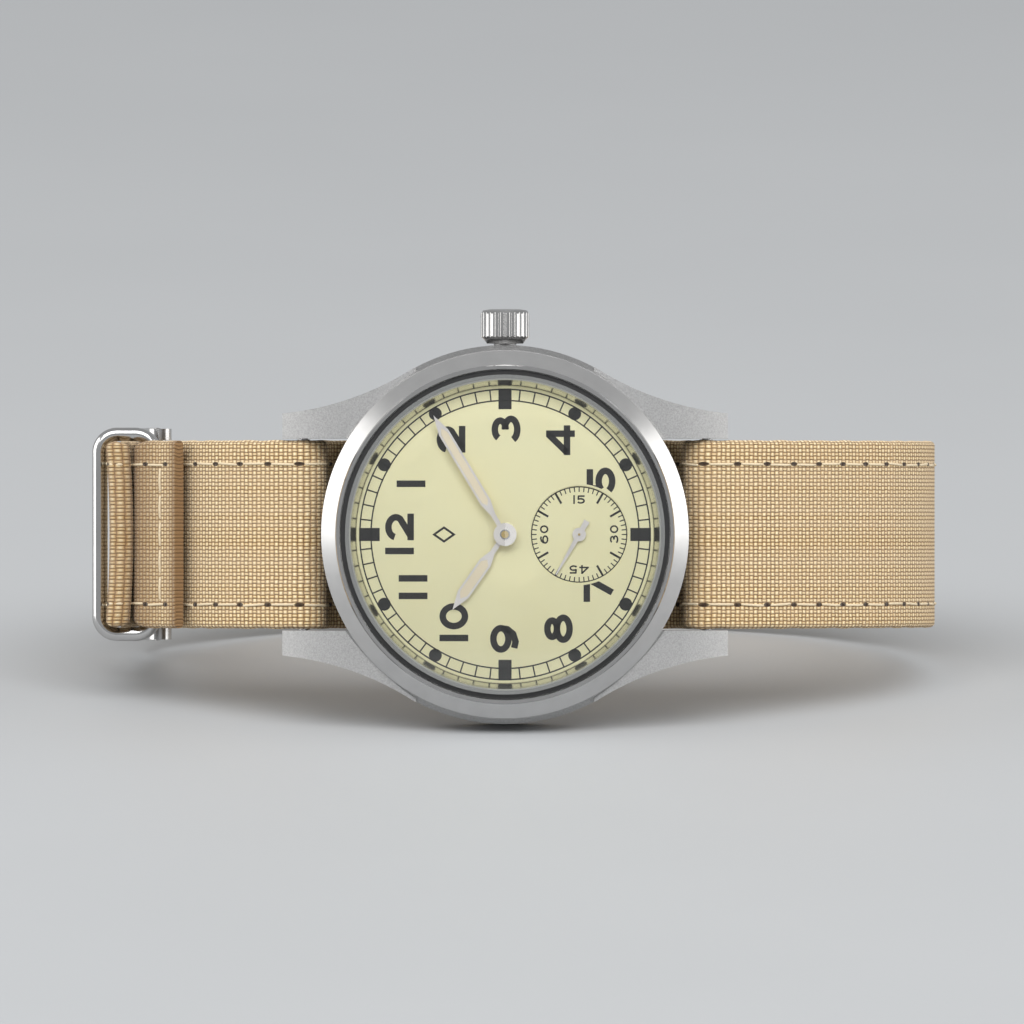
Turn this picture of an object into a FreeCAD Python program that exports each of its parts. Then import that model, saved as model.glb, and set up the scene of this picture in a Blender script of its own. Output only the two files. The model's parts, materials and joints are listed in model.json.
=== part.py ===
"""A hand-wound field watch on a one-piece canvas strap, closed in a loop and standing on its side.

Every piece is modelled in the watchmaker's bench frame: the origin is the centre of the dial's face, +Z
points out of the dial, +X to 3 o'clock (the crown) and +Y to 12 o'clock. stand() then sets every piece
up on its side: +Z up through the crown, the dial facing -Y, 12 o'clock towards -X, leaning back until
the case and the buckle both touch the ground at Z = 0. Lengths are millimetres.
"""

import FreeCAD, Part
import math
import os

import Sketcher
from FreeCAD import Placement, Rotation, Vector

doc = FreeCAD.newDocument("wristwatch")

DIMENSIONS = {
    # case
    "case_radius": 18.15,
    "case_top": 0.55,
    "case_bottom": -5.2,
    "case_chamfer": 0.7,
    "shoulder": -1.3,
    "lug_reach": 21.35,
    "lug_gap": 18.4,
    "lug_recess": 16.75,
    "flank_radius": 28.56,
    "droop_radius": 18.9,
    "droop_start": 12.0,
    "dial_bore": 14.85,
    "ring_bore": 15.35,
    "back_bore": 15.1,
    "flange_bore": 16.4,
    # bezel, crystal and dial
    "bezel_radius": 17.6,
    "bezel_bore": 15.75,
    "bezel_top": 2.25,
    "crystal_radius": 15.3,
    "crystal_seat": 1.05,
    "dome_radius": 130.0,
    "crystal_apex": 3.3,
    "crystal_thick": 1.35,
    "dial_radius": 14.7,
    "dial_thick": 0.4,
    "seconds_offset": 7.1,
    # crown and stem
    "stem_height": -2.6,
    "crown_radius": 2.35,
    "crown_inner": 18.45,
    "crown_outer": 21.6,
    "stem_radius": 0.55,
    # movement
    "plate_radius": 12.75,
    "plate_face": -0.45,
    "plate_back": -1.9,
    "bridge_under": -3.7,
    "bridge_back": -4.35,
    # spring bars, strap and buckle
    "bar_reach": 19.3,
    "bar_height": -3.4,
    "bar_radius": 0.75,
    "pin_radius": 0.4,
    "strap_width": 18.0,
    "strap_thick": 1.1,
    "wire_radius": 0.65,
    "tongue_radius": 0.55,
}

dims = doc.addObject("Spreadsheet::Sheet", "Dims")
for row, (alias, value) in enumerate(DIMENSIONS.items(), start=1):
    dims.set(f"A{row}", alias)
    dims.set(f"B{row}", str(value))
    dims.setAlias(f"B{row}", alias)
doc.recompute()

ALONG_X = Rotation(Vector(0, 1, 0), 90)
NO_TURN = Rotation()
pieces = []


def dim(alias):
    """One cell of the sheet, as a number."""
    return float(dims.get(alias))


def number(size):
    """A size is a plain number, or an expression on the sheet."""
    return float(dims.evalExpression(size)) if isinstance(size, str) else float(size)


def bind(thing, name, size):
    """Sets one property of a feature, from the sheet where the size is an expression."""
    setattr(thing, name, number(size))
    if isinstance(size, str):
        thing.setExpression(name, size)


def piece(thing, label, position=(0, 0, 0), turn=NO_TURN):
    """Lists a finished sub-part with its place in the bench frame."""
    thing.Label = label
    pieces.append((thing, Placement(Vector(*position), turn)))
    return thing


# ---------------------------------------------------------------- feature builders


def primitive(kind, name, position=(0, 0, 0), turn=NO_TURN, **sizes):
    """A Part primitive, such as Cylinder or Box."""
    thing = doc.addObject("Part::" + kind, name)
    for key, size in sizes.items():
        bind(thing, key, size)
    thing.Placement = Placement(Vector(*position), turn)
    return thing


def cylinder(name, radius, height, position=(0, 0, 0), turn=NO_TURN):
    return primitive("Cylinder", name, position, turn, Radius=radius, Height=height)


def box(name, low, high):
    """A Part::Box between two corners given as numbers."""
    size = [b - a for a, b in zip(low, high)]
    return primitive("Box", name, low, Length=size[0], Width=size[1], Height=size[2])


def fuse(name, *things):
    joined = doc.addObject("Part::MultiFuse", name)
    joined.Shapes = list(things)
    joined.Refine = True
    return joined


def cut(name, base, *tools):
    result = doc.addObject("Part::Cut", name)
    result.Base = base
    result.Tool = tools[0] if len(tools) == 1 else fuse(name + "_tools", *tools)
    result.Refine = True
    return result


def common(name, *things):
    shared = doc.addObject("Part::MultiCommon", name)
    shared.Shapes = list(things)
    return shared


def feature(name, shape):
    """A Part::Feature that holds a shape made with Part's own functions."""
    thing = doc.addObject("Part::Feature", name)
    thing.Shape = shape
    return thing


def corner_sketch(body, name, role, corners):
    """A closed outline of straight lines on an origin plane; corners are bound to the sheet."""
    sketch = body.newObject("Sketcher::SketchObject", name)
    plane = [f for f in body.Origin.OriginFeatures if f.Role == role][0]
    sketch.AttachmentSupport = [(plane, "")]
    sketch.MapMode = "FlatFace"
    points = [Vector(number(a), number(b), 0) for a, b in corners]
    count = len(points)
    for i, point in enumerate(points):
        sketch.addGeometry(Part.LineSegment(point, points[(i + 1) % count]), False)
    for i in range(count):
        sketch.addConstraint(Sketcher.Constraint("Coincident", i, 2, (i + 1) % count, 1))
    for i, corner in enumerate(corners):
        for kind, axis, size, value in (
            ("DistanceX", -2, corner[0], points[i].x),
            ("DistanceY", -1, corner[1], points[i].y),
        ):
            if abs(value) < 1e-9:
                sketch.addConstraint(Sketcher.Constraint("PointOnObject", i, 1, axis))
                continue
            at = sketch.addConstraint(Sketcher.Constraint(kind, -1, 1, i, 1, value))
            if isinstance(size, str):
                sketch.setExpression(f"Constraints[{at}]", size)
    return sketch


def turned_body(name, profile):
    """A PartDesign body: a closed (radius, height) profile turned about its Z axis."""
    body = doc.addObject("PartDesign::Body", name)
    sketch = corner_sketch(body, name + "_profile", "XZ_Plane", profile)
    turn = body.newObject("PartDesign::Revolution", name + "_turn")
    turn.Profile = sketch
    turn.ReferenceAxis = (sketch, ["V_Axis"])
    turn.Angle = 360
    sketch.Visibility = False
    return body


def turned(label, profile, position=(0, 0, 0), turn=NO_TURN):
    return piece(turned_body(label + "_body", profile), label, position, turn)


def flat_outline(points, z, height):
    """A prism over a closed outline of straight lines."""
    corners = [Vector(x, y, z) for x, y in points]
    return Part.Face(Part.makePolygon(corners + corners[:1])).extrude(Vector(0, 0, height))


def rod(radius, low, high, at=(0, 0)):
    """A plain cylinder about a vertical axis."""
    return Part.makeCylinder(radius, high - low, Vector(at[0], at[1], low))


# ---------------------------------------------------------------- case

STEM = dim("stem_height")
OUT_X = Rotation(Vector(0, 1, 0), 90)

barrel_of_case = turned_body(
    "case_round",
    [
        (0, "Dims.case_bottom"),
        ("Dims.case_radius", "Dims.case_bottom"),
        ("Dims.case_radius", "Dims.case_top - Dims.case_chamfer"),
        ("Dims.case_radius - 0.5", "Dims.case_top"),
        (0, "Dims.case_top"),
    ],
)
flank_reach = dim("case_radius") + dim("flank_radius")
FLANK_ANGLE = math.radians(31.0)
LUG_BOTTOM = -5.6
lug_shapes = []
for side_y in (1, -1):
    for side_x in (1, -1):
        tag = f"lug_{'p' if side_x > 0 else 'm'}{'p' if side_y > 0 else 'm'}"
        inner = dim("lug_gap") / 2
        block = box(
            tag + "_block",
            (min(side_x * inner, side_x * 16.0), min(side_y * 8.5, side_y * dim("lug_reach")), LUG_BOTTOM),
            (max(side_x * inner, side_x * 16.0), max(side_y * 8.5, side_y * dim("lug_reach")), 0.55),
        )
        flank = cylinder(
            tag + "_flank",
            "Dims.flank_radius",
            8.0,
            (
                side_x * flank_reach * math.cos(FLANK_ANGLE),
                side_y * flank_reach * math.sin(FLANK_ANGLE),
                -7.0,
            ),
        )
        droop = cylinder(
            tag + "_droop",
            "Dims.droop_radius",
            40.0,
            (-20.0, side_y * dim("droop_start"), dim("case_top") - dim("droop_radius")),
            ALONG_X,
        )
        lug_shapes.append(common(tag, cut(tag + "_sided", block, flank), droop))

case_solid = fuse("case_solid", barrel_of_case, *lug_shapes)
case_cuts = [
    cylinder("bore_dial", "Dims.dial_bore", 8.0, (0, 0, -7.0)),
    cylinder("bore_ring", "Dims.ring_bore", 2.0, (0, 0, 0.0)),
    cylinder("bore_back", "Dims.back_bore", 6.0, (0, 0, dim("shoulder") - 6.0)),
    cylinder("bore_flange", "Dims.flange_bore", 2.0, (0, 0, dim("case_bottom") - 2.0)),
    cut(
        "gasket_groove",
        cylinder("groove_out", 15.95, 2.0, (0, 0, dim("case_bottom") - 1.6)),
        cylinder("groove_in", 15.4, 2.2, (0, 0, dim("case_bottom") - 1.7)),
    ),
    cylinder("tube_hole", 1.1, 8.0, (14.0, 0, STEM), OUT_X),
    cylinder("crown_relief", 2.55, 3.0, (17.75, 0, STEM), OUT_X),
]
for side in (1, -1):
    tag = "twelve" if side > 0 else "six"
    near, far = sorted((12.0 * side, 26.0 * side))
    gap = box("gap_block_" + tag, (-dim("lug_gap") / 2, near, -7.0), (dim("lug_gap") / 2, far, 2.0))
    core = cylinder("gap_core_" + tag, "Dims.lug_recess", 12.0, (0, 0, -8.0))
    case_cuts.append(cut("gap_" + tag, gap, core))
    for across in (1, -1):
        start = (dim("lug_gap") / 2 + 1.3) * across
        case_cuts.append(
            cylinder(
                f"pin_hole_{tag}_{'upper' if across > 0 else 'lower'}",
                0.45,
                2.6,
                (start - 1.3, side * dim("bar_reach"), dim("bar_height")),
                OUT_X,
            )
        )
case_raw = cut("case_raw", case_solid, *case_cuts)
piece(case_raw, "case_middle")

turned(
    "bezel",
    [
        (14.95, "Dims.case_top"),
        ("Dims.bezel_radius", "Dims.case_top"),
        ("Dims.bezel_radius", 0.75),
        (16.25, "Dims.bezel_top - 0.2"),
        (16.15, "Dims.bezel_top"),
        (15.85, "Dims.bezel_top"),
        ("Dims.bezel_bore", "Dims.bezel_top - 0.1"),
        ("Dims.bezel_bore", "Dims.crystal_seat - 0.05"),
        (14.95, "Dims.crystal_seat - 0.05"),
    ],
)

dome_centre = dim("crystal_apex") - dim("dome_radius")
crystal_disc = cylinder("crystal_disc", "Dims.crystal_radius", 4.0, (0, 0, 0.5))
dome_outer = primitive("Sphere", "dome_outer", (0, 0, dome_centre), Radius="Dims.dome_radius")
dome_inner = primitive(
    "Sphere", "dome_inner", (0, 0, dome_centre), Radius="Dims.dome_radius - Dims.crystal_thick"
)
piece(cut("crystal_shell", common("crystal_dome", crystal_disc, dome_outer), dome_inner), "crystal")

turned(
    "crystal_gasket",
    [
        ("Dims.crystal_radius + 0.02", "Dims.crystal_seat"),
        ("Dims.bezel_bore - 0.02", "Dims.crystal_seat"),
        ("Dims.bezel_bore - 0.02", "Dims.bezel_top - 0.25"),
        ("Dims.crystal_radius + 0.02", "Dims.bezel_top - 0.25"),
    ],
)
turned(
    "dial_ring",
    [
        (14.2, 0.03),
        (15.3, 0.03),
        (15.3, 0.5),
        (14.92, 0.5),
        (14.92, 0.98),
        (14.8, 0.98),
    ],
)
back_plate = turned_body(
    "case_back_body",
    [
        (0, -5.05),
        (13.9, -5.05),
        (13.9, -4.45),
        (15.05, -4.45),
        (15.05, "Dims.case_bottom - 0.02"),
        (16.3, "Dims.case_bottom - 0.02"),
        (16.3, -6.0),
        (15.6, -6.35),
        (11.0, -6.8),
        (0, -6.8),
    ],
)
notches = []
for i in range(6):
    angle = 60.0 * i + 30.0
    notch = box(f"notch_{i}", (-1.1, 13.6, -7.2), (1.1, 16.6, -6.1))
    notch.Placement = Placement(Vector(), Rotation(Vector(0, 0, 1), angle)).multiply(notch.Placement)
    notches.append(notch)
piece(cut("case_back_notched", back_plate, *notches), "case_back")
turned(
    "case_back_gasket",
    [(15.45, -5.19), (15.9, -5.19), (15.9, -4.85), (15.45, -4.85)],
)

# ---------------------------------------------------------------- crown, stem and keyless work

turned(
    "crown_tube",
    [(0.65, 15.3), (1.08, 15.3), (1.08, 19.2), (0.95, 19.35), (0.65, 19.35)],
    (0, 0, STEM),
    OUT_X,
)
crown_solid = turned_body(
    "crown_solid",
    [
        (0, 19.75),
        (1.4, 19.75),
        (1.4, 18.3),
        (1.75, 18.3),
        (2.05, 18.75),
        ("Dims.crown_radius", 19.0),
        ("Dims.crown_radius", "Dims.crown_outer - 0.45"),
        (2.1, "Dims.crown_outer - 0.12"),
        (1.4, "Dims.crown_outer"),
        (0, "Dims.crown_outer"),
    ],
)
FLUTES = 28
flutes = []
for i in range(FLUTES):
    angle = 2 * math.pi * i / FLUTES
    flutes.append(
        rod(0.17, 18.0, 22.0, (2.42 * math.cos(angle), 2.42 * math.sin(angle)))
    )
flute_set = feature("crown_flutes", Part.makeCompound(flutes))
stem_socket = cylinder("stem_socket", "Dims.stem_radius", 1.2, (0, 0, 19.7))
piece(cut("crown_cut", crown_solid, flute_set, stem_socket), "crown", (0, 0, STEM), OUT_X)
turned(
    "crown_gasket",
    [(1.12, 18.5), (1.38, 18.5), (1.38, 19.0), (1.12, 19.0)],
    (0, 0, STEM),
    OUT_X,
)

stem_profile = [
    (0, 5.1),
    (0.3, 5.1),
    (0.3, 5.4),
    (0.38, 5.4),
    (0.38, 8.4),
    ("Dims.stem_radius", 8.4),
    ("Dims.stem_radius", 9.4),
    (0.38, 9.4),
    (0.38, 9.9),
    ("Dims.stem_radius", 9.9),
    ("Dims.stem_radius", 20.85),
    (0, 20.85),
]
stem_core = turned_body("stem_core", stem_profile)
stem_square = primitive("Box", "stem_square", (-0.35, -0.35, 5.4), Length=0.7, Width=0.7, Height=3.0)
piece(fuse("stem_solid", stem_core, stem_square), "winding_stem", (0, 0, STEM), OUT_X)


def toothed(teeth, root, tip, low, high, phase=0.0, share=0.30, at=(0, 0)):
    """A gear blank: straight-flanked teeth on a round body. phase turns the first tooth, in degrees."""
    points = []
    pitch = 2 * math.pi / teeth
    for i in range(teeth):
        middle = math.radians(phase) + i * pitch
        for radius, offset in ((root, -share), (tip, -share / 2), (tip, share / 2), (root, share)):
            angle = middle + offset * pitch
            points.append((at[0] + radius * math.cos(angle), at[1] + radius * math.sin(angle)))
    return flat_outline(points, low, high - low)


def spoked(shape, inner, outer, low, high, at, spokes=4, half=0.22):
    """Cuts the windows between a wheel's spokes."""
    ring = rod(outer, low - 1, high + 1, at).cut(rod(inner, low - 1, high + 1, at))
    for i in range(spokes):
        arm = Part.makeBox(2 * outer, 2 * half, high - low + 4, Vector(0, -half, low - 2))
        arm.Placement = Placement(Vector(at[0], at[1], 0), Rotation(Vector(0, 0, 1), 360.0 * i / spokes))
        ring = ring.cut(arm)
    return shape.cut(ring)


def made(label, shape, position=(0, 0, 0), turn=NO_TURN):
    """A sub-part whose shape is computed, with its place given after its shape."""
    return piece(feature(label + "_solid", shape), label, position, turn)


CENTRE = (0.0, 0.0)
FOURTH = (0.0, -dim("seconds_offset"))
THIRD = (3.2, -4.2)
ESCAPE = (-3.5, -8.42)
BALANCE = (-7.6, -2.6)
FORK = (-5.17, -6.05)
BARREL = (1.2, 6.18)
CROWN_WHEEL = (5.0, 1.0)
MINUTE_WHEEL = (2.5, 1.47)
LEVER_PIVOT = (10.15, -3.7)
YOKE_PIVOT = (6.0, -4.0)
PIVOT = 0.12


def bearing(a, b):
    """The direction from one centre to another, in degrees."""
    return math.degrees(math.atan2(b[1] - a[1], b[0] - a[0]))


def distance(a, b):
    return math.hypot(b[0] - a[0], b[1] - a[1])


def pair(a, b, teeth_a, teeth_b):
    """Module and phases of two meshing wheels: a shows a tooth to b, and b a gap to a."""
    module = 2 * distance(a, b) / (teeth_a + teeth_b)
    facing = bearing(b, a) + 180.0 / teeth_b
    return module, bearing(a, b), facing


def wheel(teeth, module, low, high, phase, at):
    radius = module * teeth / 2
    return toothed(teeth, radius - 0.75 * module, radius + 0.6 * module, low, high, phase, at=at)


def leaves(teeth, module, low, high, phase, at):
    radius = module * teeth / 2
    return toothed(teeth, radius - 0.95 * module, radius + 0.6 * module, low, high, phase, share=0.26, at=at)


def joined(*shapes):
    whole = shapes[0]
    for shape in shapes[1:]:
        whole = whole.fuse(shape)
    return whole.removeSplitter()


# pinions on the stem
winding = toothed(12, 1.0, 1.3, 6.95, 8.2).cut(rod(0.52, 6.0, 9.0))
made("winding_pinion", winding, (0, 0, STEM), OUT_X)
sliding = rod(0.8, 5.55, 6.75).cut(rod(1.0, 5.95, 6.45).cut(rod(0.58, 5.9, 6.5)))
square_bore = Part.makeBox(0.76, 0.76, 3.0, Vector(-0.38, -0.38, 5.0))
made("sliding_pinion", sliding.cut(square_bore), (0, 0, STEM), OUT_X)


def lever(pivot, tip, half, low, high, pin_radius, pin_low):
    """A flat lever from its pivot to a pin that reaches down at its tip."""
    length = distance(pivot, tip)
    bar = Part.makeBox(length, 2 * half, high - low, Vector(0, -half, 0))
    bar.Placement = Placement(Vector(pivot[0], pivot[1], low), Rotation(Vector(0, 0, 1), bearing(pivot, tip)))
    ends = [rod(half * 1.7, low, high, pivot), rod(half, low, high, tip), rod(pin_radius, pin_low, high, tip)]
    return joined(bar, *ends).cut(rod(0.32, low - 1, high + 1, pivot))


made("setting_lever", lever(LEVER_PIVOT, (9.65, 0.0), 0.4, -0.8, -0.5, 0.2, -2.15))
made("yoke", lever(YOKE_PIVOT, (6.2, 0.0), 0.4, -0.8, -0.5, 0.18, -1.93))

# ---------------------------------------------------------------- wheels of the movement

module, phase_a, phase_b = pair(CENTRE, THIRD, 80, 10)
centre_rim = spoked(wheel(80, module, -2.2, -2.0, phase_a, CENTRE), 1.1, 4.05, -2.2, -2.0, CENTRE)
third_pinion = leaves(10, module, -2.35, -1.95, phase_b, THIRD)
module, phase_a, phase_b = pair(CENTRE, BARREL, 12, 72)
centre_pinion = leaves(12, module, -3.0, -2.45, phase_a, CENTRE)
barrel_teeth = wheel(72, module, -2.75, -2.5, phase_b, BARREL)
centre_arbor = joined(rod(0.35, -3.6, 1.28), rod(0.2, -4.3, -3.6))
made("centre_wheel", joined(centre_rim, centre_pinion, rod(0.6, -2.45, -1.95), centre_arbor))

module, phase_a, phase_b = pair(THIRD, FOURTH, 75, 10)
third_rim = spoked(wheel(75, module, -3.35, -3.2, phase_a, THIRD), 0.8, 3.3, -3.35, -3.2, THIRD)
fourth_pinion = leaves(10, module, -3.45, -3.1, phase_b, FOURTH)
third_arbor = joined(rod(0.28, -3.6, -1.95, THIRD), rod(PIVOT, -4.0, -1.6, THIRD))
made("third_wheel", joined(third_rim, third_pinion, third_arbor))

module, phase_a, phase_b = pair(FOURTH, ESCAPE, 80, 8)
fourth_rim = spoked(wheel(80, module, -2.65, -2.5, phase_a, FOURTH), 0.8, 2.95, -2.65, -2.5, FOURTH)
escape_pinion = leaves(8, module, -2.75, -2.4, phase_b, ESCAPE)
fourth_arbor = joined(rod(0.28, -3.6, -2.0, FOURTH), rod(PIVOT, -4.0, 0.35, FOURTH))
made("fourth_wheel", joined(fourth_rim, fourth_pinion, fourth_arbor))

escape_points = []
for i in range(15):
    for radius, turn_deg in ((1.7, 0.0), (2.15, 8.0), (2.13, 10.0), (1.7, 7.5)):
        angle = math.radians(24.0 * i + turn_deg)
        escape_points.append((ESCAPE[0] + radius * math.cos(angle), ESCAPE[1] + radius * math.sin(angle)))
escape_rim = spoked(flat_outline(escape_points, -3.0, 0.15), 0.5, 1.4, -3.0, -2.85, ESCAPE, half=0.15)
escape_arbor = joined(rod(0.2, -3.6, -2.0, ESCAPE), rod(PIVOT, -4.0, -1.6, ESCAPE))
made("escape_wheel", joined(escape_rim, escape_pinion, escape_arbor))

# pallet fork: lever towards the balance, two arms that reach over the escape wheel
line = math.radians(bearing(FORK, BALANCE))
along = (math.cos(line), math.sin(line))
fork_reach = distance(FORK, BALANCE) - 0.62


def strip(a, b, half, low, high):
    """A flat bar with round ends between two points."""
    length = distance(a, b)
    bar = Part.makeBox(length, 2 * half, high - low, Vector(0, -half, 0))
    bar.Placement = Placement(Vector(a[0], a[1], low), Rotation(Vector(0, 0, 1), bearing(a, b)))
    return joined(bar, rod(half, low, high, a), rod(half, low, high, b))


FORK_LOW = -3.02
FORK_HIGH = -2.83
fork_end = (FORK[0] + (fork_reach - 0.35) * along[0], FORK[1] + (fork_reach - 0.35) * along[1])
fork_parts = [strip(FORK, fork_end, 0.16, FORK_LOW, FORK_HIGH), rod(0.45, FORK_LOW, FORK_HIGH, FORK)]
for side in (1, -1):
    horn_root = (fork_end[0] - 0.2 * side * along[1], fork_end[1] + 0.2 * side * along[0])
    horn_tip = (
        horn_root[0] + 0.34 * along[0] - 0.06 * side * along[1],
        horn_root[1] + 0.34 * along[1] + 0.06 * side * along[0],
    )
    fork_parts.append(strip(horn_root, horn_tip, 0.09, FORK_LOW, FORK_HIGH))
    stone_way = math.radians(bearing(ESCAPE, FORK) + 40.0 * side)
    stone = (ESCAPE[0] + 2.5 * math.cos(stone_way), ESCAPE[1] + 2.5 * math.sin(stone_way))
    fork_parts.append(strip(FORK, stone, 0.14, FORK_LOW, FORK_HIGH))
fork_parts.append(joined(rod(0.2, -3.05, -2.2, FORK), rod(PIVOT, -3.3, -1.6, FORK)))
made("pallet_fork", joined(*fork_parts))

# balance wheel, staff with roller, and hairspring
rim = rod(4.15, -3.9, -3.66, BALANCE).cut(rod(3.7, -4, -3, BALANCE))
arms = []
for i in range(3):
    way = math.radians(bearing(BALANCE, FORK) + 60 + 120.0 * i)
    end = (BALANCE[0] + 3.8 * math.cos(way), BALANCE[1] + 3.8 * math.sin(way))
    arms.append(strip(BALANCE, end, 0.22, -3.86, -3.7))
made("balance_wheel", joined(rim, *arms, rod(0.6, -3.9, -3.66, BALANCE)).cut(rod(0.3, -5, 0, BALANCE)))
pin_way = math.radians(bearing(BALANCE, FORK))
pin_at = (BALANCE[0] + 0.68 * math.cos(pin_way), BALANCE[1] + 0.68 * math.sin(pin_way))
made(
    "balance_staff",
    joined(
        rod(0.3, -4.28, -2.2, BALANCE),
        rod(PIVOT, -4.6, -1.6, BALANCE),
        rod(0.9, -3.3, -3.14, BALANCE),
        rod(0.1, -3.14, -3.06, pin_at),
    ),
)


def spiral(centre, start, end, turns, half, low, height, steps):
    """A flat spiral strip as a closed outline: out along one side and back along the other."""
    outer = []
    inner = []
    for i in range(steps + 1):
        share = i / steps
        angle = 2 * math.pi * turns * share
        radius = start + (end - start) * share
        for line_points, offset in ((outer, half), (inner, -half)):
            reach = radius + offset
            line_points.append((centre[0] + reach * math.cos(angle), centre[1] + reach * math.sin(angle)))
    return flat_outline(outer + inner[::-1], low, height)


collet = rod(0.55, -4.26, -4.0, BALANCE).cut(rod(0.3, -5, -3, BALANCE))
made("hairspring", joined(spiral(BALANCE, 0.52, 2.6, 8, 0.03, -4.2, 0.16, 240), collet))

# barrel: drum with teeth, arbor, spring
drum = joined(rod(5.1, -3.55, -2.42, BARREL), barrel_teeth)
drum = drum.cut(rod(4.85, -3.35, -2.62, BARREL)).cut(rod(0.75, -4, -2, BARREL))
made("barrel", drum)
made(
    "barrel_arbor",
    joined(rod(1.1, -3.33, -2.64, BARREL), rod(0.7, -4.5, -2.2, BARREL), rod(0.5, -2.3, -1.5, BARREL)),
)
made("mainspring", spiral(BARREL, 1.22, 4.7, 7, 0.05, -3.3, 0.63, 224))

crown_module, phase_a, phase_b = pair(CROWN_WHEEL, BARREL, 24, 36)
crown_blank = wheel(24, crown_module, -4.38, -4.1, phase_a, CROWN_WHEEL)
made("crown_wheel", crown_blank.cut(rod(0.9, -5, -4, CROWN_WHEEL)))
ratchet_blank = wheel(36, crown_module, -4.38, -4.1, phase_b, BARREL)
made("ratchet_wheel", ratchet_blank.cut(rod(0.7, -5, -4, BARREL)))
made(
    "crown_wheel_core",
    joined(
        rod(0.86, -4.4, -4.05, CROWN_WHEEL),
        rod(1.25, -4.6, -4.4, CROWN_WHEEL),
        rod(0.4, -4.1, -3.75, CROWN_WHEEL),
    ),
)
click_way = math.radians(125.0)
CLICK = (BARREL[0] + 5.75 * math.cos(click_way), BARREL[1] + 5.75 * math.sin(click_way))
tip_way = math.radians(108.0)
click_tip = (BARREL[0] + 4.26 * math.cos(tip_way), BARREL[1] + 4.26 * math.sin(tip_way))
click_blank = joined(rod(0.75, -4.65, -4.38, CLICK), strip(CLICK, click_tip, 0.2, -4.65, -4.38))
made("click", click_blank.cut(rod(0.32, -5, -4, CLICK)))
spring_end = (CLICK[0] - 3.6, CLICK[1] - 1.9)
spring_touch = (CLICK[0] - 0.9, CLICK[1] - 0.35)
click_spring = joined(strip(spring_end, spring_touch, 0.09, -4.6, -4.36), rod(0.4, -4.6, -4.35, spring_end))
made("click_spring", click_spring)

# motion work under the dial
module, phase_a, phase_b = pair(CENTRE, MINUTE_WHEEL, 12, 36)
cannon = joined(
    leaves(12, module, -1.25, -0.9, phase_a, CENTRE),
    rod(0.62, -0.9, 0.9, CENTRE),
    rod(0.48, 0.9, 1.16, CENTRE),
)
made("cannon_pinion", cannon.cut(rod(0.36, -2, 2, CENTRE)))
minute_rim = wheel(36, module, -1.2, -1.02, phase_b, MINUTE_WHEEL)
module, phase_a, phase_b = pair(MINUTE_WHEEL, CENTRE, 10, 40)
minute_leaves = leaves(10, module, -1.02, -0.55, phase_a, MINUTE_WHEEL)
made("minute_wheel", joined(minute_rim, minute_leaves).cut(rod(0.24, -2, 0, MINUTE_WHEEL)))
hour_rim = wheel(40, module, -0.82, -0.62, phase_b, CENTRE)
hour_pipe = rod(0.92, -0.82, 0.55, CENTRE)
made("hour_wheel", joined(hour_rim, hour_pipe).cut(rod(0.66, -2, 2, CENTRE)))

# ---------------------------------------------------------------- plates, bridges, jewels, screws

PLATE_FACE = dim("plate_face")
PLATE_BACK = dim("plate_back")
UNDER = dim("bridge_under")
BACK = dim("bridge_back")
BARREL_FEET = [(8.3, 8.2), (-10.4, 5.2), (11.2, 2.9)]
TRAIN_FEET = [(10.6, -5.0), (4.3, -10.8), (-1.2, -11.6)]
BALANCE_FEET = [(-11.3, 1.9), (-8.6, -8.0)]
PALLET_FEET = [(-6.9, -8.0), (-4.3, -3.9)]
DEEP_JEWELS = [THIRD, FOURTH, ESCAPE, FORK, BALANCE]
BRIDGE_JEWELS = [THIRD, FOURTH, ESCAPE]

plate_disc = cylinder(
    "plate_disc", "Dims.plate_radius", "Dims.plate_face - Dims.plate_back", (0, 0, PLATE_BACK)
)
stem_block = box("stem_block", (11.3, -1.6, -3.4), (12.3, 1.6, PLATE_BACK))
plate_cuts = [
    cylinder("motion_recess", 2.65, 1.0, (0, 0, -1.35)),
    cylinder("minute_recess", 2.4, 1.0, (MINUTE_WHEEL[0], MINUTE_WHEEL[1], -1.35)),
    box("lever_pocket", (5.2, -4.8, -0.85), (11.3, 0.75, 0.0)),
    box("pinion_slot", (5.0, -1.5, -2.5), (8.6, 1.5, -1.15)),
    box("lever_slot", (9.2, -0.4, -2.5), (11.1, 0.4, -0.5)),
    box("yoke_slot", (5.4, -0.4, -2.5), (7.0, 0.4, -0.5)),
    cylinder("stem_bearing", 0.6, 3.0, (10.5, 0, STEM), OUT_X),
    cylinder("centre_bearing", 0.4, 3.0, (0, 0, -3.0)),
    cylinder("barrel_bearing", 0.55, 1.0, (BARREL[0], BARREL[1], -2.5)),
    cylinder("seconds_bore", 0.2, 2.0, (FOURTH[0], FOURTH[1], -1.5)),
    feature("jewel_seats", Part.makeCompound([rod(0.55, -3.0, -1.5, spot) for spot in DEEP_JEWELS])),
    feature(
        "screw_seats",
        Part.makeCompound(
            [rod(0.3, -3.0, -1.2, spot) for spot in BARREL_FEET + TRAIN_FEET + BALANCE_FEET + PALLET_FEET]
        ),
    ),
]
plate_studs = [
    cylinder("minute_stud", 0.2, 0.85, (MINUTE_WHEEL[0], MINUTE_WHEEL[1], -1.4)),
    cylinder("lever_stud", 0.27, 0.45, (LEVER_PIVOT[0], LEVER_PIVOT[1], -0.92)),
    cylinder("yoke_stud", 0.27, 0.45, (YOKE_PIVOT[0], YOKE_PIVOT[1], -0.92)),
]
plate_cut = cut("plate_cut", fuse("plate_solid", plate_disc, stem_block), *plate_cuts)
piece(fuse("plate_whole", plate_cut, *plate_studs), "mainplate")

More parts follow.
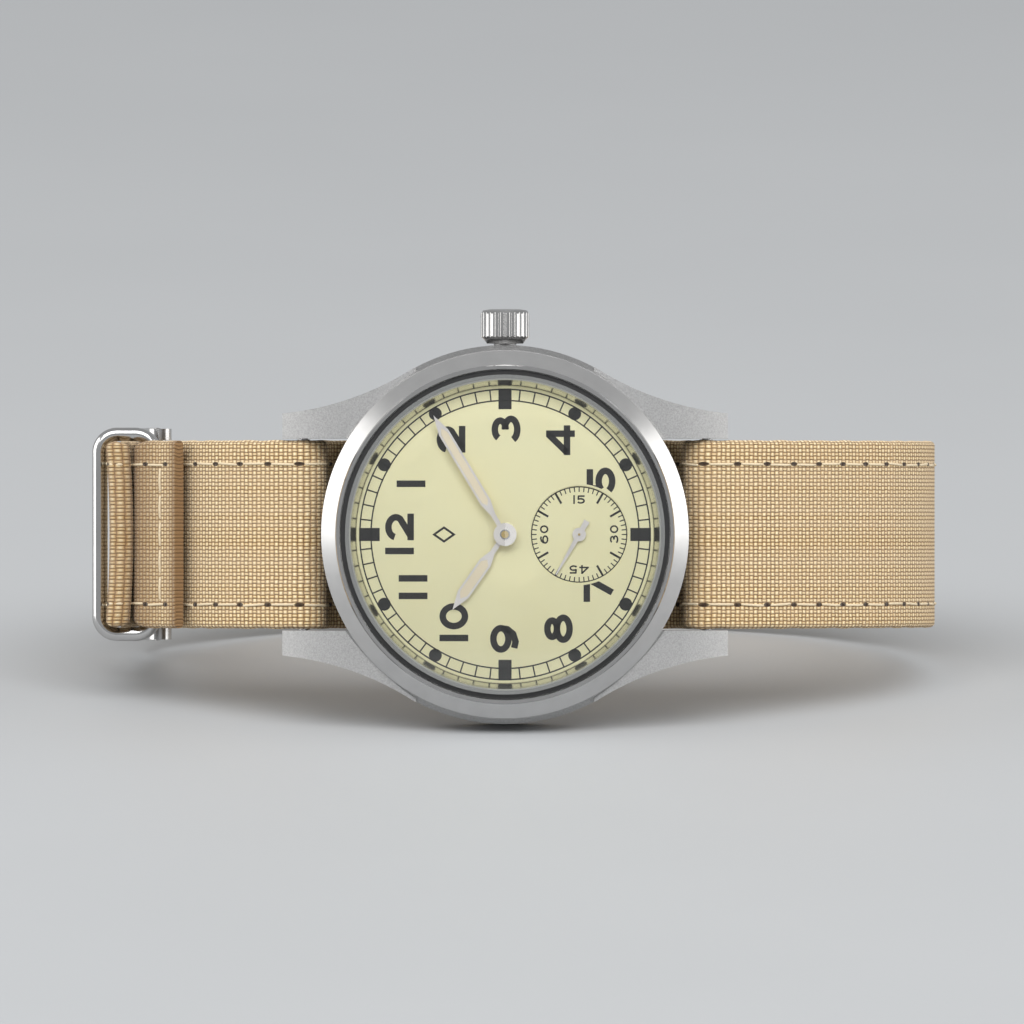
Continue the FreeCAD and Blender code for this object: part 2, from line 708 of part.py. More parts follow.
full = rod(12.6, UNDER - 0.65, UNDER)
barrel_side = [(-14, 1.3), (1.2, 1.3), (1.2, -2.3), (14, -2.3), (14, 14), (-14, 14)]
barrel_sheet = full.common(flat_outline(barrel_side, BACK - 1, 3.0)).cut(rod(5.0, -6, 0, BALANCE))
barrel_legs = [rod(0.85, UNDER, PLATE_BACK, spot) for spot in BARREL_FEET]
barrel_holes = [rod(0.32, -6, 0, spot) for spot in BARREL_FEET]
barrel_holes += [
    rod(2.95, BACK - 0.1, -4.05, CROWN_WHEEL),
    rod(4.2, BACK - 0.1, -4.05, BARREL),
    rod(0.4, -5, -3.6, CROWN_WHEEL),
    rod(0.75, -5, -3.6, BARREL),
    rod(1.0, -5, -3.6, BALANCE_FEET[0]),
    Part.makeBox(2.0, 3.0, 1.0, Vector(6.6, -1.5, -4.3)),
]
bridge_shape = joined(barrel_sheet, *barrel_legs)
for hole in barrel_holes:
    bridge_shape = bridge_shape.cut(hole)
made("barrel_bridge", joined(bridge_shape, rod(0.27, -4.68, -4.0, CLICK)))

train_side = [(-6.4, 1.1), (1.0, 1.1), (1.0, -2.5), (14, -2.5), (14, -14), (-6.4, -14)]
train_sheet = full.common(flat_outline(train_side, BACK - 1, 3.0)).cut(rod(4.6, -6, 0, BALANCE))
train_shape = joined(train_sheet, *[rod(0.85, UNDER, PLATE_BACK, spot) for spot in TRAIN_FEET])
for hole in (
    [rod(0.32, -6, 0, spot) for spot in TRAIN_FEET]
    + [rod(0.55, -4.1, -3.6, spot) for spot in BRIDGE_JEWELS]
    + [rod(0.3, -5, -3.6, spot) for spot in BRIDGE_JEWELS]
    + [rod(0.24, -5, -3.6, CENTRE)]
):
    train_shape = train_shape.cut(hole)
made("train_bridge", train_shape)

COCK_LOW = -4.8
COCK_HIGH = -4.4
cock_shape = joined(
    strip(BALANCE_FEET[0], BALANCE, 0.9, COCK_LOW, COCK_HIGH),
    strip(BALANCE_FEET[1], BALANCE, 0.9, COCK_LOW, COCK_HIGH),
    rod(1.4, COCK_LOW, COCK_HIGH, BALANCE),
    *[rod(0.8, COCK_HIGH, PLATE_BACK, spot) for spot in BALANCE_FEET],
)
for hole in [rod(0.32, -6, 0, spot) for spot in BALANCE_FEET] + [
    rod(0.55, -4.65, -4.2, BALANCE),
    rod(0.3, -5, -4.2, BALANCE),
]:
    cock_shape = cock_shape.cut(hole)
made("balance_bridge", cock_shape)

pallet_shape = joined(
    strip(PALLET_FEET[0], PALLET_FEET[1], 0.6, -3.35, -3.1),
    rod(0.8, -3.35, -3.1, FORK),
    *[rod(0.6, -3.35, PLATE_BACK, spot) for spot in PALLET_FEET],
)
for hole in [rod(0.32, -6, 0, spot) for spot in PALLET_FEET] + [rod(0.4, -4, -3, FORK)]:
    pallet_shape = pallet_shape.cut(hole)
made("pallet_bridge", pallet_shape)


def jewel(spot, low, high, radius=0.55, bore=0.16):
    return rod(radius, low, high, spot).cut(rod(bore, low - 1, high + 1, spot))


jewels = [jewel(spot, -1.88, -1.52) for spot in DEEP_JEWELS]
jewels += [jewel(spot, -4.08, -3.74) for spot in BRIDGE_JEWELS]
jewels.append(jewel(BALANCE, -4.64, -4.42))
jewels.append(jewel(FORK, -3.33, -3.12, radius=0.4))
made("jewels", Part.makeCompound(jewels))


def screw(spot, head_low, head_high, end):
    """A slotted cheese-head screw: its head below, its shank up into the mainplate."""
    body = joined(rod(0.62, head_low, head_high, spot), rod(0.28, head_high, end, spot))
    return body.cut(Part.makeBox(1.6, 0.16, 0.12, Vector(spot[0] - 0.8, spot[1] - 0.08, head_low - 0.02)))


screws = [screw(spot, BACK - 0.2, BACK, -1.3) for spot in BARREL_FEET + TRAIN_FEET]
screws += [screw(spot, COCK_LOW - 0.2, COCK_LOW, -1.3 + COCK_LOW - BACK) for spot in BALANCE_FEET]
made("bridge_screws", Part.makeCompound(screws))
made("pallet_screws", Part.makeCompound([screw(spot, -3.55, -3.35, -1.3) for spot in PALLET_FEET]))

turned(
    "movement_ring",
    [(12.85, -4.35), (15.02, -4.35), (15.02, -1.35), (14.5, -1.35), (14.5, -0.5), (12.85, -0.5)],
)
ring_body = pieces.pop()[0]
ring_hole = cylinder("ring_stem_hole", 0.75, 4.0, (12.0, 0, STEM), OUT_X)
ring_body.Label = "movement_ring_body"
piece(cut("movement_ring_bored", ring_body, ring_hole), "movement_ring")

# ---------------------------------------------------------------- dial and hands

dial_disc = cylinder("dial_disc", "Dims.dial_radius", "Dims.dial_thick", (0, 0, -dim("dial_thick")))
dial_cuts = [
    cylinder("dial_centre_hole", 1.0, 2.0, (0, 0, -1.0)),
    cylinder("dial_seconds_hole", 0.3, 2.0, (0, -dim("seconds_offset"), -1.0)),
    cylinder("dial_recess", 4.68, 1.0, (0, -dim("seconds_offset"), -0.1)),
]
piece(cut("dial_cut", dial_disc, *dial_cuts), "dial")


LUME_SHARE = 0.97


def hand(label, way_deg, length, half, neck, neck_end, shoulder, taper, hub, bore, low, high):
    """A hand and its lume: hub, neck, broad body, point. way_deg is anticlockwise from 3 o'clock."""
    outline = [
        (0, -neck),
        (neck_end, -neck),
        (shoulder, -half),
        (taper, -half),
        (length, 0),
        (taper, half),
        (shoulder, half),
        (neck_end, neck),
        (0, neck),
    ]
    blade = joined(flat_outline(outline, low, high - low), rod(hub, low, high))
    blade = blade.cut(rod(bore, low - 1, high + 1))
    wall = 0.2
    window = [
        (shoulder + 0.1, -(half - wall)),
        (taper - 0.1, -(half - wall)),
        (taper + 0.5, 0),
        (taper - 0.1, half - wall),
        (shoulder + 0.1, half - wall),
        (shoulder - 0.35, 0),
    ]
    blade = blade.cut(flat_outline(window, low - 1, high - low + 2))
    lume = flat_outline([(x, y * LUME_SHARE) for x, y in window], low + 0.02, high - low - 0.03)
    turn = Rotation(Vector(0, 0, 1), way_deg)
    made(label, blade, (0, 0, 0), turn)
    made(label + "_lume", lume, (0, 0, 0), turn)


SECONDS = 50.0
MINUTES = 9.0 + SECONDS / 60
HOURS = 10.0 + MINUTES / 60
hand("hour_hand", 90 - 30 * HOURS, 8.8, 0.62, 0.24, 2.1, 3.3, 7.0, 1.1, 0.92, 0.38, 0.53)
hand("minute_hand", 90 - 6 * MINUTES, 13.3, 0.53, 0.22, 2.2, 3.6, 11.4, 1.1, 0.48, 0.91, 1.05)
seconds_outline = [
    (-1.5, -0.3),
    (0, -0.2),
    (0, -0.25),
    (4.45, -0.06),
    (4.45, 0.06),
    (0, 0.25),
    (0, 0.2),
    (-1.5, 0.3),
]
seconds_blade = joined(flat_outline(seconds_outline, 0.12, 0.1), rod(0.65, 0.1, 0.26)).cut(rod(PIVOT, -1, 1))
made("seconds_hand", seconds_blade, (0, -dim("seconds_offset"), 0), Rotation(Vector(0, 0, 1), 90 - 6 * SECONDS))

# ---------------------------------------------------------------- spring bars, strap, buckle, keepers

BAR_Z = dim("bar_height")
REACH = dim("bar_reach")
GAP_HALF = dim("lug_gap") / 2
PRESS = 1.0
COLLAR_IN = 0.3
PLUG_LONG = 1.6
PLUG_DEEP = 0.6
tube_half = GAP_HALF - COLLAR_IN - PRESS - 0.05
for tag, side in (("twelve", 1), ("six", -1)):
    for end, across in (("upper", 1), ("lower", -1)):
        pin = joined(
            rod(dim("pin_radius"), tube_half - PLUG_DEEP, GAP_HALF + 0.95),
            rod(0.62, GAP_HALF - COLLAR_IN, GAP_HALF - 0.08),
            rod(0.47, tube_half - PLUG_DEEP - PLUG_LONG, tube_half - PLUG_DEEP),
        )
        turn = OUT_X if across > 0 else Rotation(Vector(0, 1, 0), -90)
        made(f"bar_pin_{tag}_{end}", pin, (0, side * REACH, BAR_Z), turn)


def coil(radius, wire, low, high, turns):
    """A coil spring about the vertical axis."""
    helix = Part.makeHelix((high - low) / turns, high - low, radius)
    helix.translate(Vector(0, 0, low))
    section = Part.Wire([Part.makeCircle(wire, Vector(radius, 0, low), Vector(0, 1, 0))])
    return Part.Wire(helix.Edges).makePipeShell([section], True, True)


def both_bars(shape):
    """One copy of a shape at each of the two spring bars."""
    copies = []
    for side in (1, -1):
        one = shape.copy()
        one.Placement = Placement(Vector(0, side * REACH, BAR_Z), OUT_X)
        copies.append(one)
    return Part.makeCompound(copies)


bar_tube = rod(dim("bar_radius"), -tube_half, tube_half).cut(rod(0.5, -tube_half - 1, tube_half + 1))
made("spring_bar_tubes", both_bars(bar_tube))
spring_half = tube_half - PLUG_DEEP - PLUG_LONG - PRESS - 0.1
made("spring_bar_springs", both_bars(coil(0.36, 0.06, -spring_half, spring_half, 26)))


ROUND = -1.0


class Path:
    """A line of straight runs and round corners in the (Y, Z) plane, from corners (y, z, radius).

    A corner marked ROUND is as round as the shorter of its two runs allows.
    """

    def __init__(self, corners):
        self.runs = []
        here = Vector(corners[0][0], corners[0][1], 0)
        for i in range(1, len(corners) - 1):
            corner = Vector(corners[i][0], corners[i][1], 0)
            before = (corner - Vector(corners[i - 1][0], corners[i - 1][1], 0)).normalize()
            after = (Vector(corners[i + 1][0], corners[i + 1][1], 0) - corner).normalize()
            swing = math.atan2(before.x * after.y - before.y * after.x, before.dot(after))
            radius = corners[i][2]
            if radius == ROUND:
                shorter = min(
                    (corner - Vector(corners[i - 1][0], corners[i - 1][1], 0)).Length,
                    (Vector(corners[i + 1][0], corners[i + 1][1], 0) - corner).Length,
                )
                radius = 0.49 * shorter / math.tan(abs(swing) / 2)
            back = radius * math.tan(abs(swing) / 2)
            start = corner - before * back
            end = corner + after * back
            if (start - here).dot(before) < -1e-6:
                raise ValueError(f"corner {i} at {corners[i]} is too round for its run")
            self.runs.append(("line", here, start, before))
            side = 1 if swing > 0 else -1
            centre = start + Vector(-before.y, before.x, 0) * (radius * side)
            self.runs.append(("arc", start, end, centre, radius, swing, before))
            here = end
        last = Vector(corners[-1][0], corners[-1][1], 0)
        self.runs.append(("line", here, last, (last - here).normalize()))

    def length(self):
        return sum((run[2] - run[1]).Length if run[0] == "line" else run[4] * abs(run[5]) for run in self.runs)

    def side(self, offset):
        """The edges of a line drawn beside the path, offset to its left."""
        edges = []
        for run in self.runs:
            if run[0] == "line":
                shift = Vector(-run[3].y, run[3].x, 0) * offset
                if (run[2] - run[1]).Length > 1e-6:
                    edges.append(Part.LineSegment(run[1] + shift, run[2] + shift).toShape())
            else:
                kind, start, end, centre, radius, swing, before = run
                side = 1 if swing > 0 else -1
                scale = (radius - side * offset) / radius
                middle = Rotation(Vector(0, 0, 1), math.degrees(swing / 2)).multVec(start - centre)
                points = [centre + arm * scale for arm in (start - centre, middle, end - centre)]
                edges.append(Part.Arc(*points).toShape())
        return edges

    def at(self, reach):
        """Point and heading at a distance along the path."""
        for run in self.runs:
            size = (run[2] - run[1]).Length if run[0] == "line" else run[4] * abs(run[5])
            if reach <= size:
                if run[0] == "line":
                    return run[1] + run[3] * reach, run[3]
                turn = Rotation(Vector(0, 0, 1), math.degrees(run[5] * reach / size))
                return run[3] + turn.multVec(run[1] - run[3]), turn.multVec(run[6])
            reach -= size
        raise ValueError("beyond the end of the path")

    def nearest(self, y, z):
        """Distance along the path of its closest point to (y, z)."""
        steps = [0.05 * i for i in range(int(self.length() / 0.05))]
        return min(steps, key=lambda reach: (self.at(reach)[0] - Vector(y, z, 0)).Length)


def upright(shape):
    """Takes a shape drawn in (Y, Z) as (X, Y), thickness up, into the bench frame."""
    turned_shape = shape.copy()
    turned_shape.Placement = Placement(Vector(), Rotation(Vector(1, 1, 1), 120)).multiply(shape.Placement)
    return turned_shape


def ribbon(path, thickness, width):
    """A flat band of the given thickness that follows a path, centred on X = 0."""
    left = path.side(thickness / 2)
    right = path.side(-thickness / 2)
    caps = [
        Part.LineSegment(left[0].Vertexes[0].Point, right[0].Vertexes[0].Point).toShape(),
        Part.LineSegment(left[-1].Vertexes[-1].Point, right[-1].Vertexes[-1].Point).toShape(),
    ]
    wire = Part.Wire(Part.__sortEdges__(left + right + caps))
    solid = Part.Face(wire).extrude(Vector(0, 0, width))
    solid.translate(Vector(0, 0, -width / 2))
    return upright(solid)


KEEPER_Z = (-16.0, -26.5)
HINGE = (33.65, -33.0)
REST = (35.75, -41.6)
MAIN_Y = 32.0
FOLD_Y = 35.3
TAIL_Y = 36.65
HEM_Y = 37.85
STRAP_CORNERS = [
    (31.35, -9.35, 0),
    (33.1, -11.8, 3.0),
    (FOLD_Y, -14.2, 3.0),
    (FOLD_Y, -17.9, 1.8),
    (33.5, -20.2, 1.8),
    (33.5, -22.2, 1.8),
    (FOLD_Y, -24.6, 1.8),
    (FOLD_Y, -34.65, 1.649),
    (MAIN_Y, -34.65, 1.649),
    (MAIN_Y, -14.2, ROUND),
    (28.4, -7.9, ROUND),
    (23.8, -3.75, ROUND),
    (17.65, -1.05, 1.65),
    (17.65, -7.75, 2.2),
    (-17.65, -7.75, 2.2),
    (-17.65, -1.05, 1.65),
    (-24.0, -3.3, ROUND),
    (-30.0, -8.0, ROUND),
    (-36.2, -14.2, ROUND),
    (-40.0, -20.8, ROUND),
    (-41.4, -28.2, ROUND),
    (-40.7, -36.0, ROUND),
    (-37.2, -43.5, ROUND),
    (-30.6, -49.6, ROUND),
    (-22.0, -53.9, ROUND),
    (-11.0, -56.2, ROUND),
    (1.0, -56.6, ROUND),
    (12.5, -55.2, ROUND),
    (22.0, -51.8, ROUND),
    (29.4, -46.6, ROUND),
    (34.1, -41.0, ROUND),
    (TAIL_Y, -34.0, ROUND),
    (TAIL_Y, -14.0, 0.599),
    (HEM_Y, -14.0, 0.599),
    (HEM_Y, -23.5, 0),
]
strap_path = Path(STRAP_CORNERS)
strap_shape = ribbon(strap_path, dim("strap_thick"), dim("strap_width"))

# the tongue's way from the hinge bar to its rest, and the sewn holes in the tail
tongue_turn = math.degrees(math.atan2(REST[1] - HINGE[1], REST[0] - HINGE[0]))
to_rest = distance(HINGE, REST)
stand_off = dim("wire_radius") + dim("tongue_radius") + 0.05
lift = math.degrees(math.asin(stand_off / to_rest))
tongue_heading = math.radians(tongue_turn + lift)
tongue_way = (math.cos(tongue_heading), math.sin(tongue_heading))
crossing = min(
    (0.05 * i for i in range(40, 180)),
    key=lambda reach: (
        strap_path.at(strap_path.nearest(HINGE[0] + tongue_way[0] * 4.8, HINGE[1] + tongue_way[1] * 4.8))[0]
        - Vector(HINGE[0] + tongue_way[0] * reach, HINGE[1] + tongue_way[1] * reach, 0)
    ).Length,
)
used_hole = strap_path.nearest(HINGE[0] + tongue_way[0] * crossing, HINGE[1] + tongue_way[1] * crossing)
HOLE_PITCH = 6.5
HOLE_LONG = 4.6
HOLE_WIDE = 1.7
holes = []
for step in (-4, -3, -2, -1, 0, 1, 2):
    spot, heading = strap_path.at(used_hole + HOLE_PITCH * step)
    if step > 0:
        spot, heading = strap_path.at(used_hole + HOLE_PITCH * step + 0.6)
    flat = HOLE_LONG - HOLE_WIDE
    slot = Part.makeBox(flat, 1.6, HOLE_WIDE, Vector(-flat / 2, -0.8, -HOLE_WIDE / 2))
    for end in (-flat / 2, flat / 2):
        slot = slot.fuse(Part.makeCylinder(HOLE_WIDE / 2, 1.6, Vector(end, -0.8, 0), Vector(0, 1, 0)))
    slot.Placement = Placement(spot, Rotation(Vector(0, 0, 1), math.degrees(math.atan2(heading.y, heading.x))))
    holes.append(upright(slot))
for hole in holes:
    strap_shape = strap_shape.cut(hole)
tongue_slot = Part.makeBox(2.8, 6.2, 5.2, Vector(-1.4, 30.4, -36.1))
strap_shape = strap_shape.cut(tongue_slot)
# the edges give way to the keepers' round corners
PINCH_HALF = 8.3
PINCH_LONG = 2.0
for height_z in KEEPER_Z:
    for start_x in (PINCH_HALF, -PINCH_HALF - 2.0):
        pinch = Part.makeBox(2.0, 5.5, PINCH_LONG, Vector(start_x, 34.0, height_z - PINCH_LONG / 2))
        strap_shape = strap_shape.cut(pinch)
made("strap", strap_shape)

wire = dim("wire_radius")


def loop(height, depth, radius, corner):
    """A closed wire loop: a round-cornered rectangle in the (X, Y) plane about the origin."""
    a = height / 2 - radius
    b = depth / 2 - radius
    edges = []
    for x0, y0, x1, y1 in (
        (a - corner, b, -a + corner, b),
        (-a, b - corner, -a, -b + corner),
        (-a + corner, -b, a - corner, -b),
        (a, -b + corner, a, b - corner),
    ):
        edges.append(Part.LineSegment(Vector(x0, y0, 0), Vector(x1, y1, 0)).toShape())
    for sx, sy in ((-1, 1), (-1, -1), (1, -1), (1, 1)):
        centre = Vector(sx * (a - corner), sy * (b - corner), 0)
        bend = corner / math.sqrt(2)
        edges.append(
            Part.Arc(
                centre + Vector(sx * corner, 0, 0),
                centre + Vector(sx * bend, sy * bend, 0),
                centre + Vector(0, sy * corner, 0),
            ).toShape()
        )
    spine = Part.Wire(Part.__sortEdges__(edges))
    section = Part.Wire([Part.makeCircle(radius, Vector(0, b, 0), Vector(1, 0, 0))])
    return spine.makePipeShell([section], True, True)


KEEPER_DEPTH = 6.55
KEEPER_HEIGHT = 20.6
keeper_y = 33.3 + KEEPER_DEPTH / 2
keepers = []
for height_z in KEEPER_Z:
    keeper = loop(KEEPER_HEIGHT, KEEPER_DEPTH, wire, 1.75)
    keeper.translate(Vector(0, keeper_y, height_z))
    keepers.append(keeper)
made("keepers", Part.makeCompound(keepers))

frame_half = 9.7
EYE_HALF = 0.55
made(
    "buckle_bar",
    rod(wire, -frame_half - EYE_HALF, frame_half + EYE_HALF),
    (0, HINGE[0], HINGE[1]),
    OUT_X,
)
FRAME_CORNER = 1.6
turn_back = FRAME_CORNER * (1 - 1 / math.sqrt(2))
frame_edges = [
    Part.LineSegment(Vector(0, -frame_half, 0), Vector(to_rest - FRAME_CORNER, -frame_half, 0)),
    Part.Arc(
        Vector(to_rest - FRAME_CORNER, -frame_half, 0),
        Vector(to_rest - turn_back, -frame_half + turn_back, 0),
        Vector(to_rest, -frame_half + FRAME_CORNER, 0),
    ),
    Part.LineSegment(Vector(to_rest, -frame_half + FRAME_CORNER, 0), Vector(to_rest, frame_half - FRAME_CORNER, 0)),
    Part.Arc(
        Vector(to_rest, frame_half - FRAME_CORNER, 0),
        Vector(to_rest - turn_back, frame_half - turn_back, 0),
        Vector(to_rest - FRAME_CORNER, frame_half, 0),
    ),
    Part.LineSegment(Vector(to_rest - FRAME_CORNER, frame_half, 0), Vector(0, frame_half, 0)),
]
frame_spine = Part.Wire([edge.toShape() for edge in frame_edges])
frame_section = Part.Wire([Part.makeCircle(wire, Vector(0, -frame_half, 0), Vector(1, 0, 0))])
frame_flat = frame_spine.makePipeShell([frame_section], True, True)
eyes = [
    Part.makeCylinder(1.2, 2 * EYE_HALF, Vector(0, across * frame_half - EYE_HALF, 0), Vector(0, 1, 0))
    for across in (1, -1)
]
frame_flat = joined(frame_flat, *eyes).cut(Part.makeCylinder(wire, 40, Vector(0, -20, 0), Vector(0, 1, 0)))
frame_flat.Placement = Placement(
    Vector(0, HINGE[0], HINGE[1]),
    Rotation(
        Vector(0, math.cos(math.radians(tongue_turn)), math.sin(math.radians(tongue_turn))),
        Vector(1, 0, 0),
        Vector(0, 0, 0),
        "XYZ",
    ),
)
made("buckle_frame", frame_flat)

tongue_length = to_rest + 1.1
eye = rod(1.3, -0.9, 0.9)
shank = Part.makeCylinder(dim("tongue_radius"), tongue_length, Vector(0, 0, 0), Vector(1, 0, 0))
tip_ball = Part.makeSphere(dim("tongue_radius"), Vector(tongue_length, 0, 0))
tongue_flat = joined(eye, shank, tip_ball).cut(rod(wire + 0.06, -2, 2))
tongue_flat.Placement = Placement(
    Vector(HINGE[0], HINGE[1], 0), Rotation(Vector(0, 0, 1), math.degrees(tongue_heading))
)
made("buckle_tongue", upright(tongue_flat))

# ---------------------------------------------------------------- standing the watch up, checking, writing

doc.recompute()

BENCH_TO_ROW = Rotation(Vector(0, 0, 1), Vector(-1, 0, 0), Vector(0, -1, 0), "XYZ")
contact = (-dim("case_radius"), dim("case_bottom"))
slopes = []
for thing, place in pieces:
    if thing.Label in ("strap", "keepers", "buckle_frame", "buckle_bar"):
        for vertex in thing.Shape.Vertexes:
            point = place.multVec(vertex.Point)
            if point.x < -1 and point.z < -10:
                slopes.append(math.degrees(math.atan2(point.x - contact[0], contact[1] - point.z)))
lean = min(slopes)
print("lean", lean)
flat = Placement(Vector(), Rotation(Vector(-1, 0, 0), lean)).multiply(Placement(Vector(), BENCH_TO_ROW))
foot = flat.multVec(Vector(contact[0], 0, contact[1]))
stand = Placement(Vector(0, 0, -foot.z), NO_TURN).multiply(flat)
reach_box = FreeCAD.BoundBox()
for thing, place in pieces:
    placed = thing.Shape.copy()
    placed.Placement = stand.multiply(place).multiply(thing.Placement)
    reach_box.add(placed.BoundBox)
middle_shift = Vector(-reach_box.Center.x, -reach_box.Center.y, 0)
stand = Placement(middle_shift, NO_TURN).multiply(stand)

for thing, place in pieces:
    thing.Placement = stand.multiply(place).multiply(thing.Placement)
doc.recompute()

bad = []
for thing in doc.Objects:
    if "Invalid" in thing.State or "Error" in thing.State:
        bad.append(f"{thing.Label}: {thing.State}")
for thing, place in pieces:
    shape = thing.Shape
    if shape.isNull() or not shape.isValid() or not shape.Solids:
        bad.append(f"{thing.Label}: shape")
if bad:
    raise RuntimeError("not well formed: " + ", ".join(bad))

os.makedirs("parts", exist_ok=True)
for thing, place in pieces:
    thing.Shape.exportStep(f"parts/{thing.Label}.step")
print("wrote", len(pieces), "sub-parts, strap length", round(strap_path.length(), 1))
print("stand", [round(value, 6) for value in stand.Matrix.A])
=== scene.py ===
import json
import math
import random

import bmesh
import bpy
from mathutils import Matrix, Vector


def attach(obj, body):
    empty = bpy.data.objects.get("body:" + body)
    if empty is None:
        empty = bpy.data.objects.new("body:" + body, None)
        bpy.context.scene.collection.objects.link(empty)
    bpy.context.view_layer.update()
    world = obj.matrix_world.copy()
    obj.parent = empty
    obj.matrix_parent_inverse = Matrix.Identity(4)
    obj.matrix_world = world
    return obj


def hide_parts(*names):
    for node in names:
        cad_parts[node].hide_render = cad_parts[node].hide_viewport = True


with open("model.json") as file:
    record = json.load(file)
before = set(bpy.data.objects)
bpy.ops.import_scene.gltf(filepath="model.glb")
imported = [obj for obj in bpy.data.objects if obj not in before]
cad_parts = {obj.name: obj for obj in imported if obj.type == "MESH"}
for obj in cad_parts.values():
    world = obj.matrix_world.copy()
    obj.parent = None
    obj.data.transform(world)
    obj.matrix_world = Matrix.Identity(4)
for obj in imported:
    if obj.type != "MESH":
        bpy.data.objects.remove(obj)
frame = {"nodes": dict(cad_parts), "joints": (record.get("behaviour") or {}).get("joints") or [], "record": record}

random.seed(7)
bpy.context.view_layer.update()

# ---------------------------------------------------------------- the watch's own frame
# Bench frame: origin at the dial's centre, X to 3 o'clock, Y to 12 o'clock, Z out of the dial, millimetres.

joints = {joint["name"]: joint for joint in frame["joints"]}
CENTRE = Vector(joints["minutes_turn"]["pos_m"])
OUT = -Vector(joints["minutes_turn"]["axis"]).normalized()
NORTH = (CENTRE - Vector(joints["seconds_turn"]["pos_m"])).normalized()
EAST = NORTH.cross(OUT).normalized()
MM = 0.001
BENCH = Matrix.Translation(CENTRE) @ Matrix((EAST, NORTH, OUT)).transposed().to_4x4() @ Matrix.Scale(MM, 4)


def to_row(point):
    return BENCH @ Vector(point)


def closed_mesh(name, verts, faces, material, uvs=None):
    """A mesh from bench-frame points, in the row frame, with its faces turned outwards."""
    mesh = bpy.data.meshes.new(name)
    mesh.from_pydata([to_row(v) for v in verts], [], faces)
    if uvs is not None:
        layer = mesh.uv_layers.new(name="UVMap")
        for loop in mesh.loops:
            layer.data[loop.index].uv = uvs[loop.vertex_index]
    shaped = bmesh.new()
    shaped.from_mesh(mesh)
    bmesh.ops.recalc_face_normals(shaped, faces=shaped.faces)
    shaped.to_mesh(mesh)
    shaped.free()
    mesh.materials.append(material)
    return mesh


def new_mesh(name, verts, faces, body, material, smooth=True, uvs=None, sharp_deg=35.0):
    """A piece of the watch, riding on a body."""
    mesh = closed_mesh(name, verts, faces, material, uvs)
    if smooth:
        mesh.shade_smooth()
        mesh.set_sharp_from_angle(angle=math.radians(sharp_deg))
    piece = bpy.data.objects.new(name, mesh)
    bpy.context.collection.objects.link(piece)
    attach(piece, body)
    return piece


# ---------------------------------------------------------------- materials


class Nodes:
    """A few short calls for building a node tree."""

    def __init__(self, name):
        self.material = bpy.data.materials.new(name)
        self.material.use_nodes = True
        self.tree = self.material.node_tree
        self.shader = self.tree.nodes["Principled BSDF"]
        self.output = self.tree.nodes["Material Output"]

    def add(self, kind, **values):
        node = self.tree.nodes.new(kind)
        for key, value in values.items():
            setattr(node, key, value)
        return node

    def link(self, a, b):
        self.tree.links.new(a, b)

    def put(self, node, **inputs):
        """Fills a node's inputs, from a number, a colour or another node's output."""
        for key, value in inputs.items():
            socket = node.inputs[int(key[1:])] if key.startswith("_") else node.inputs[key.replace("_", " ")]
            if hasattr(value, "links"):
                self.link(value, socket)
            else:
                socket.default_value = value
        return node

    def math(self, operation, a, b=0.0, c=0.0, clamp=False):
        node = self.add("ShaderNodeMath", operation=operation, use_clamp=clamp)
        return self.put(node, _0=a, _1=b, _2=c).outputs[0]

    def mix(self, factor, a, b):
        """A blend of two colours."""
        node = self.add("ShaderNodeMix", data_type="RGBA")
        return self.put(node, _0=factor, _6=a, _7=b).outputs[2]

    def squares(self, a, b):
        """The sum of two squares."""
        return self.math("ADD", self.math("MULTIPLY", a, a), self.math("MULTIPLY", b, b))

    def vector(self, x, y, z):
        """Three numbers joined into one vector."""
        return self.put(self.add("ShaderNodeCombineXYZ"), _0=x, _1=y, _2=z).outputs[0]

    def ramp(self, factor, *stops):
        """A colour or grey level that changes along stops of (position, value)."""
        node = self.add("ShaderNodeValToRGB")
        self.link(factor, node.inputs[0])
        elements = node.color_ramp.elements
        while len(elements) < len(stops):
            elements.new(0.5)
        for element, (position, colour) in zip(elements, stops):
            element.position = position
            element.color = colour if hasattr(colour, "__len__") else (colour, colour, colour, 1)
        return node.outputs[0]

    def noise(self, vector, scale, detail=3.0, rough=0.55):
        node = self.add("ShaderNodeTexNoise")
        return self.put(node, Vector=vector, Scale=scale, Detail=detail, Roughness=rough).outputs[0]

    def place_parts(self):
        """X, Y and Z in the bench frame, in millimetres, at rest."""
        coords = self.add("ShaderNodeTexCoord").outputs["Object"]
        minus = self.add("ShaderNodeVectorMath", operation="SUBTRACT")
        shifted = self.put(minus, _0=coords, _1=CENTRE).outputs[0]
        parts = []
        for axis in (EAST, NORTH, OUT):
            dot = self.add("ShaderNodeVectorMath", operation="DOT_PRODUCT")
            parts.append(self.put(dot, _0=shifted, _1=axis / MM).outputs["Value"])
        return parts

    def place(self):
        """Position in the bench frame, in millimetres, at rest."""
        return self.vector(*self.place_parts())

    def stretch(self, vector, scale):
        node = self.add("ShaderNodeVectorMath", operation="MULTIPLY")
        return self.put(node, _0=vector, _1=Vector(scale)).outputs[0]

    def bump(self, height, strength, distance, normal=None):
        node = self.add("ShaderNodeBump")
        self.put(node, Strength=strength, Distance=distance, Height=height)
        if normal is not None:
            self.link(normal, node.inputs["Normal"])
        return node.outputs[0]

    def finish(self, **inputs):
        self.put(self.shader, **inputs)
        return self.material


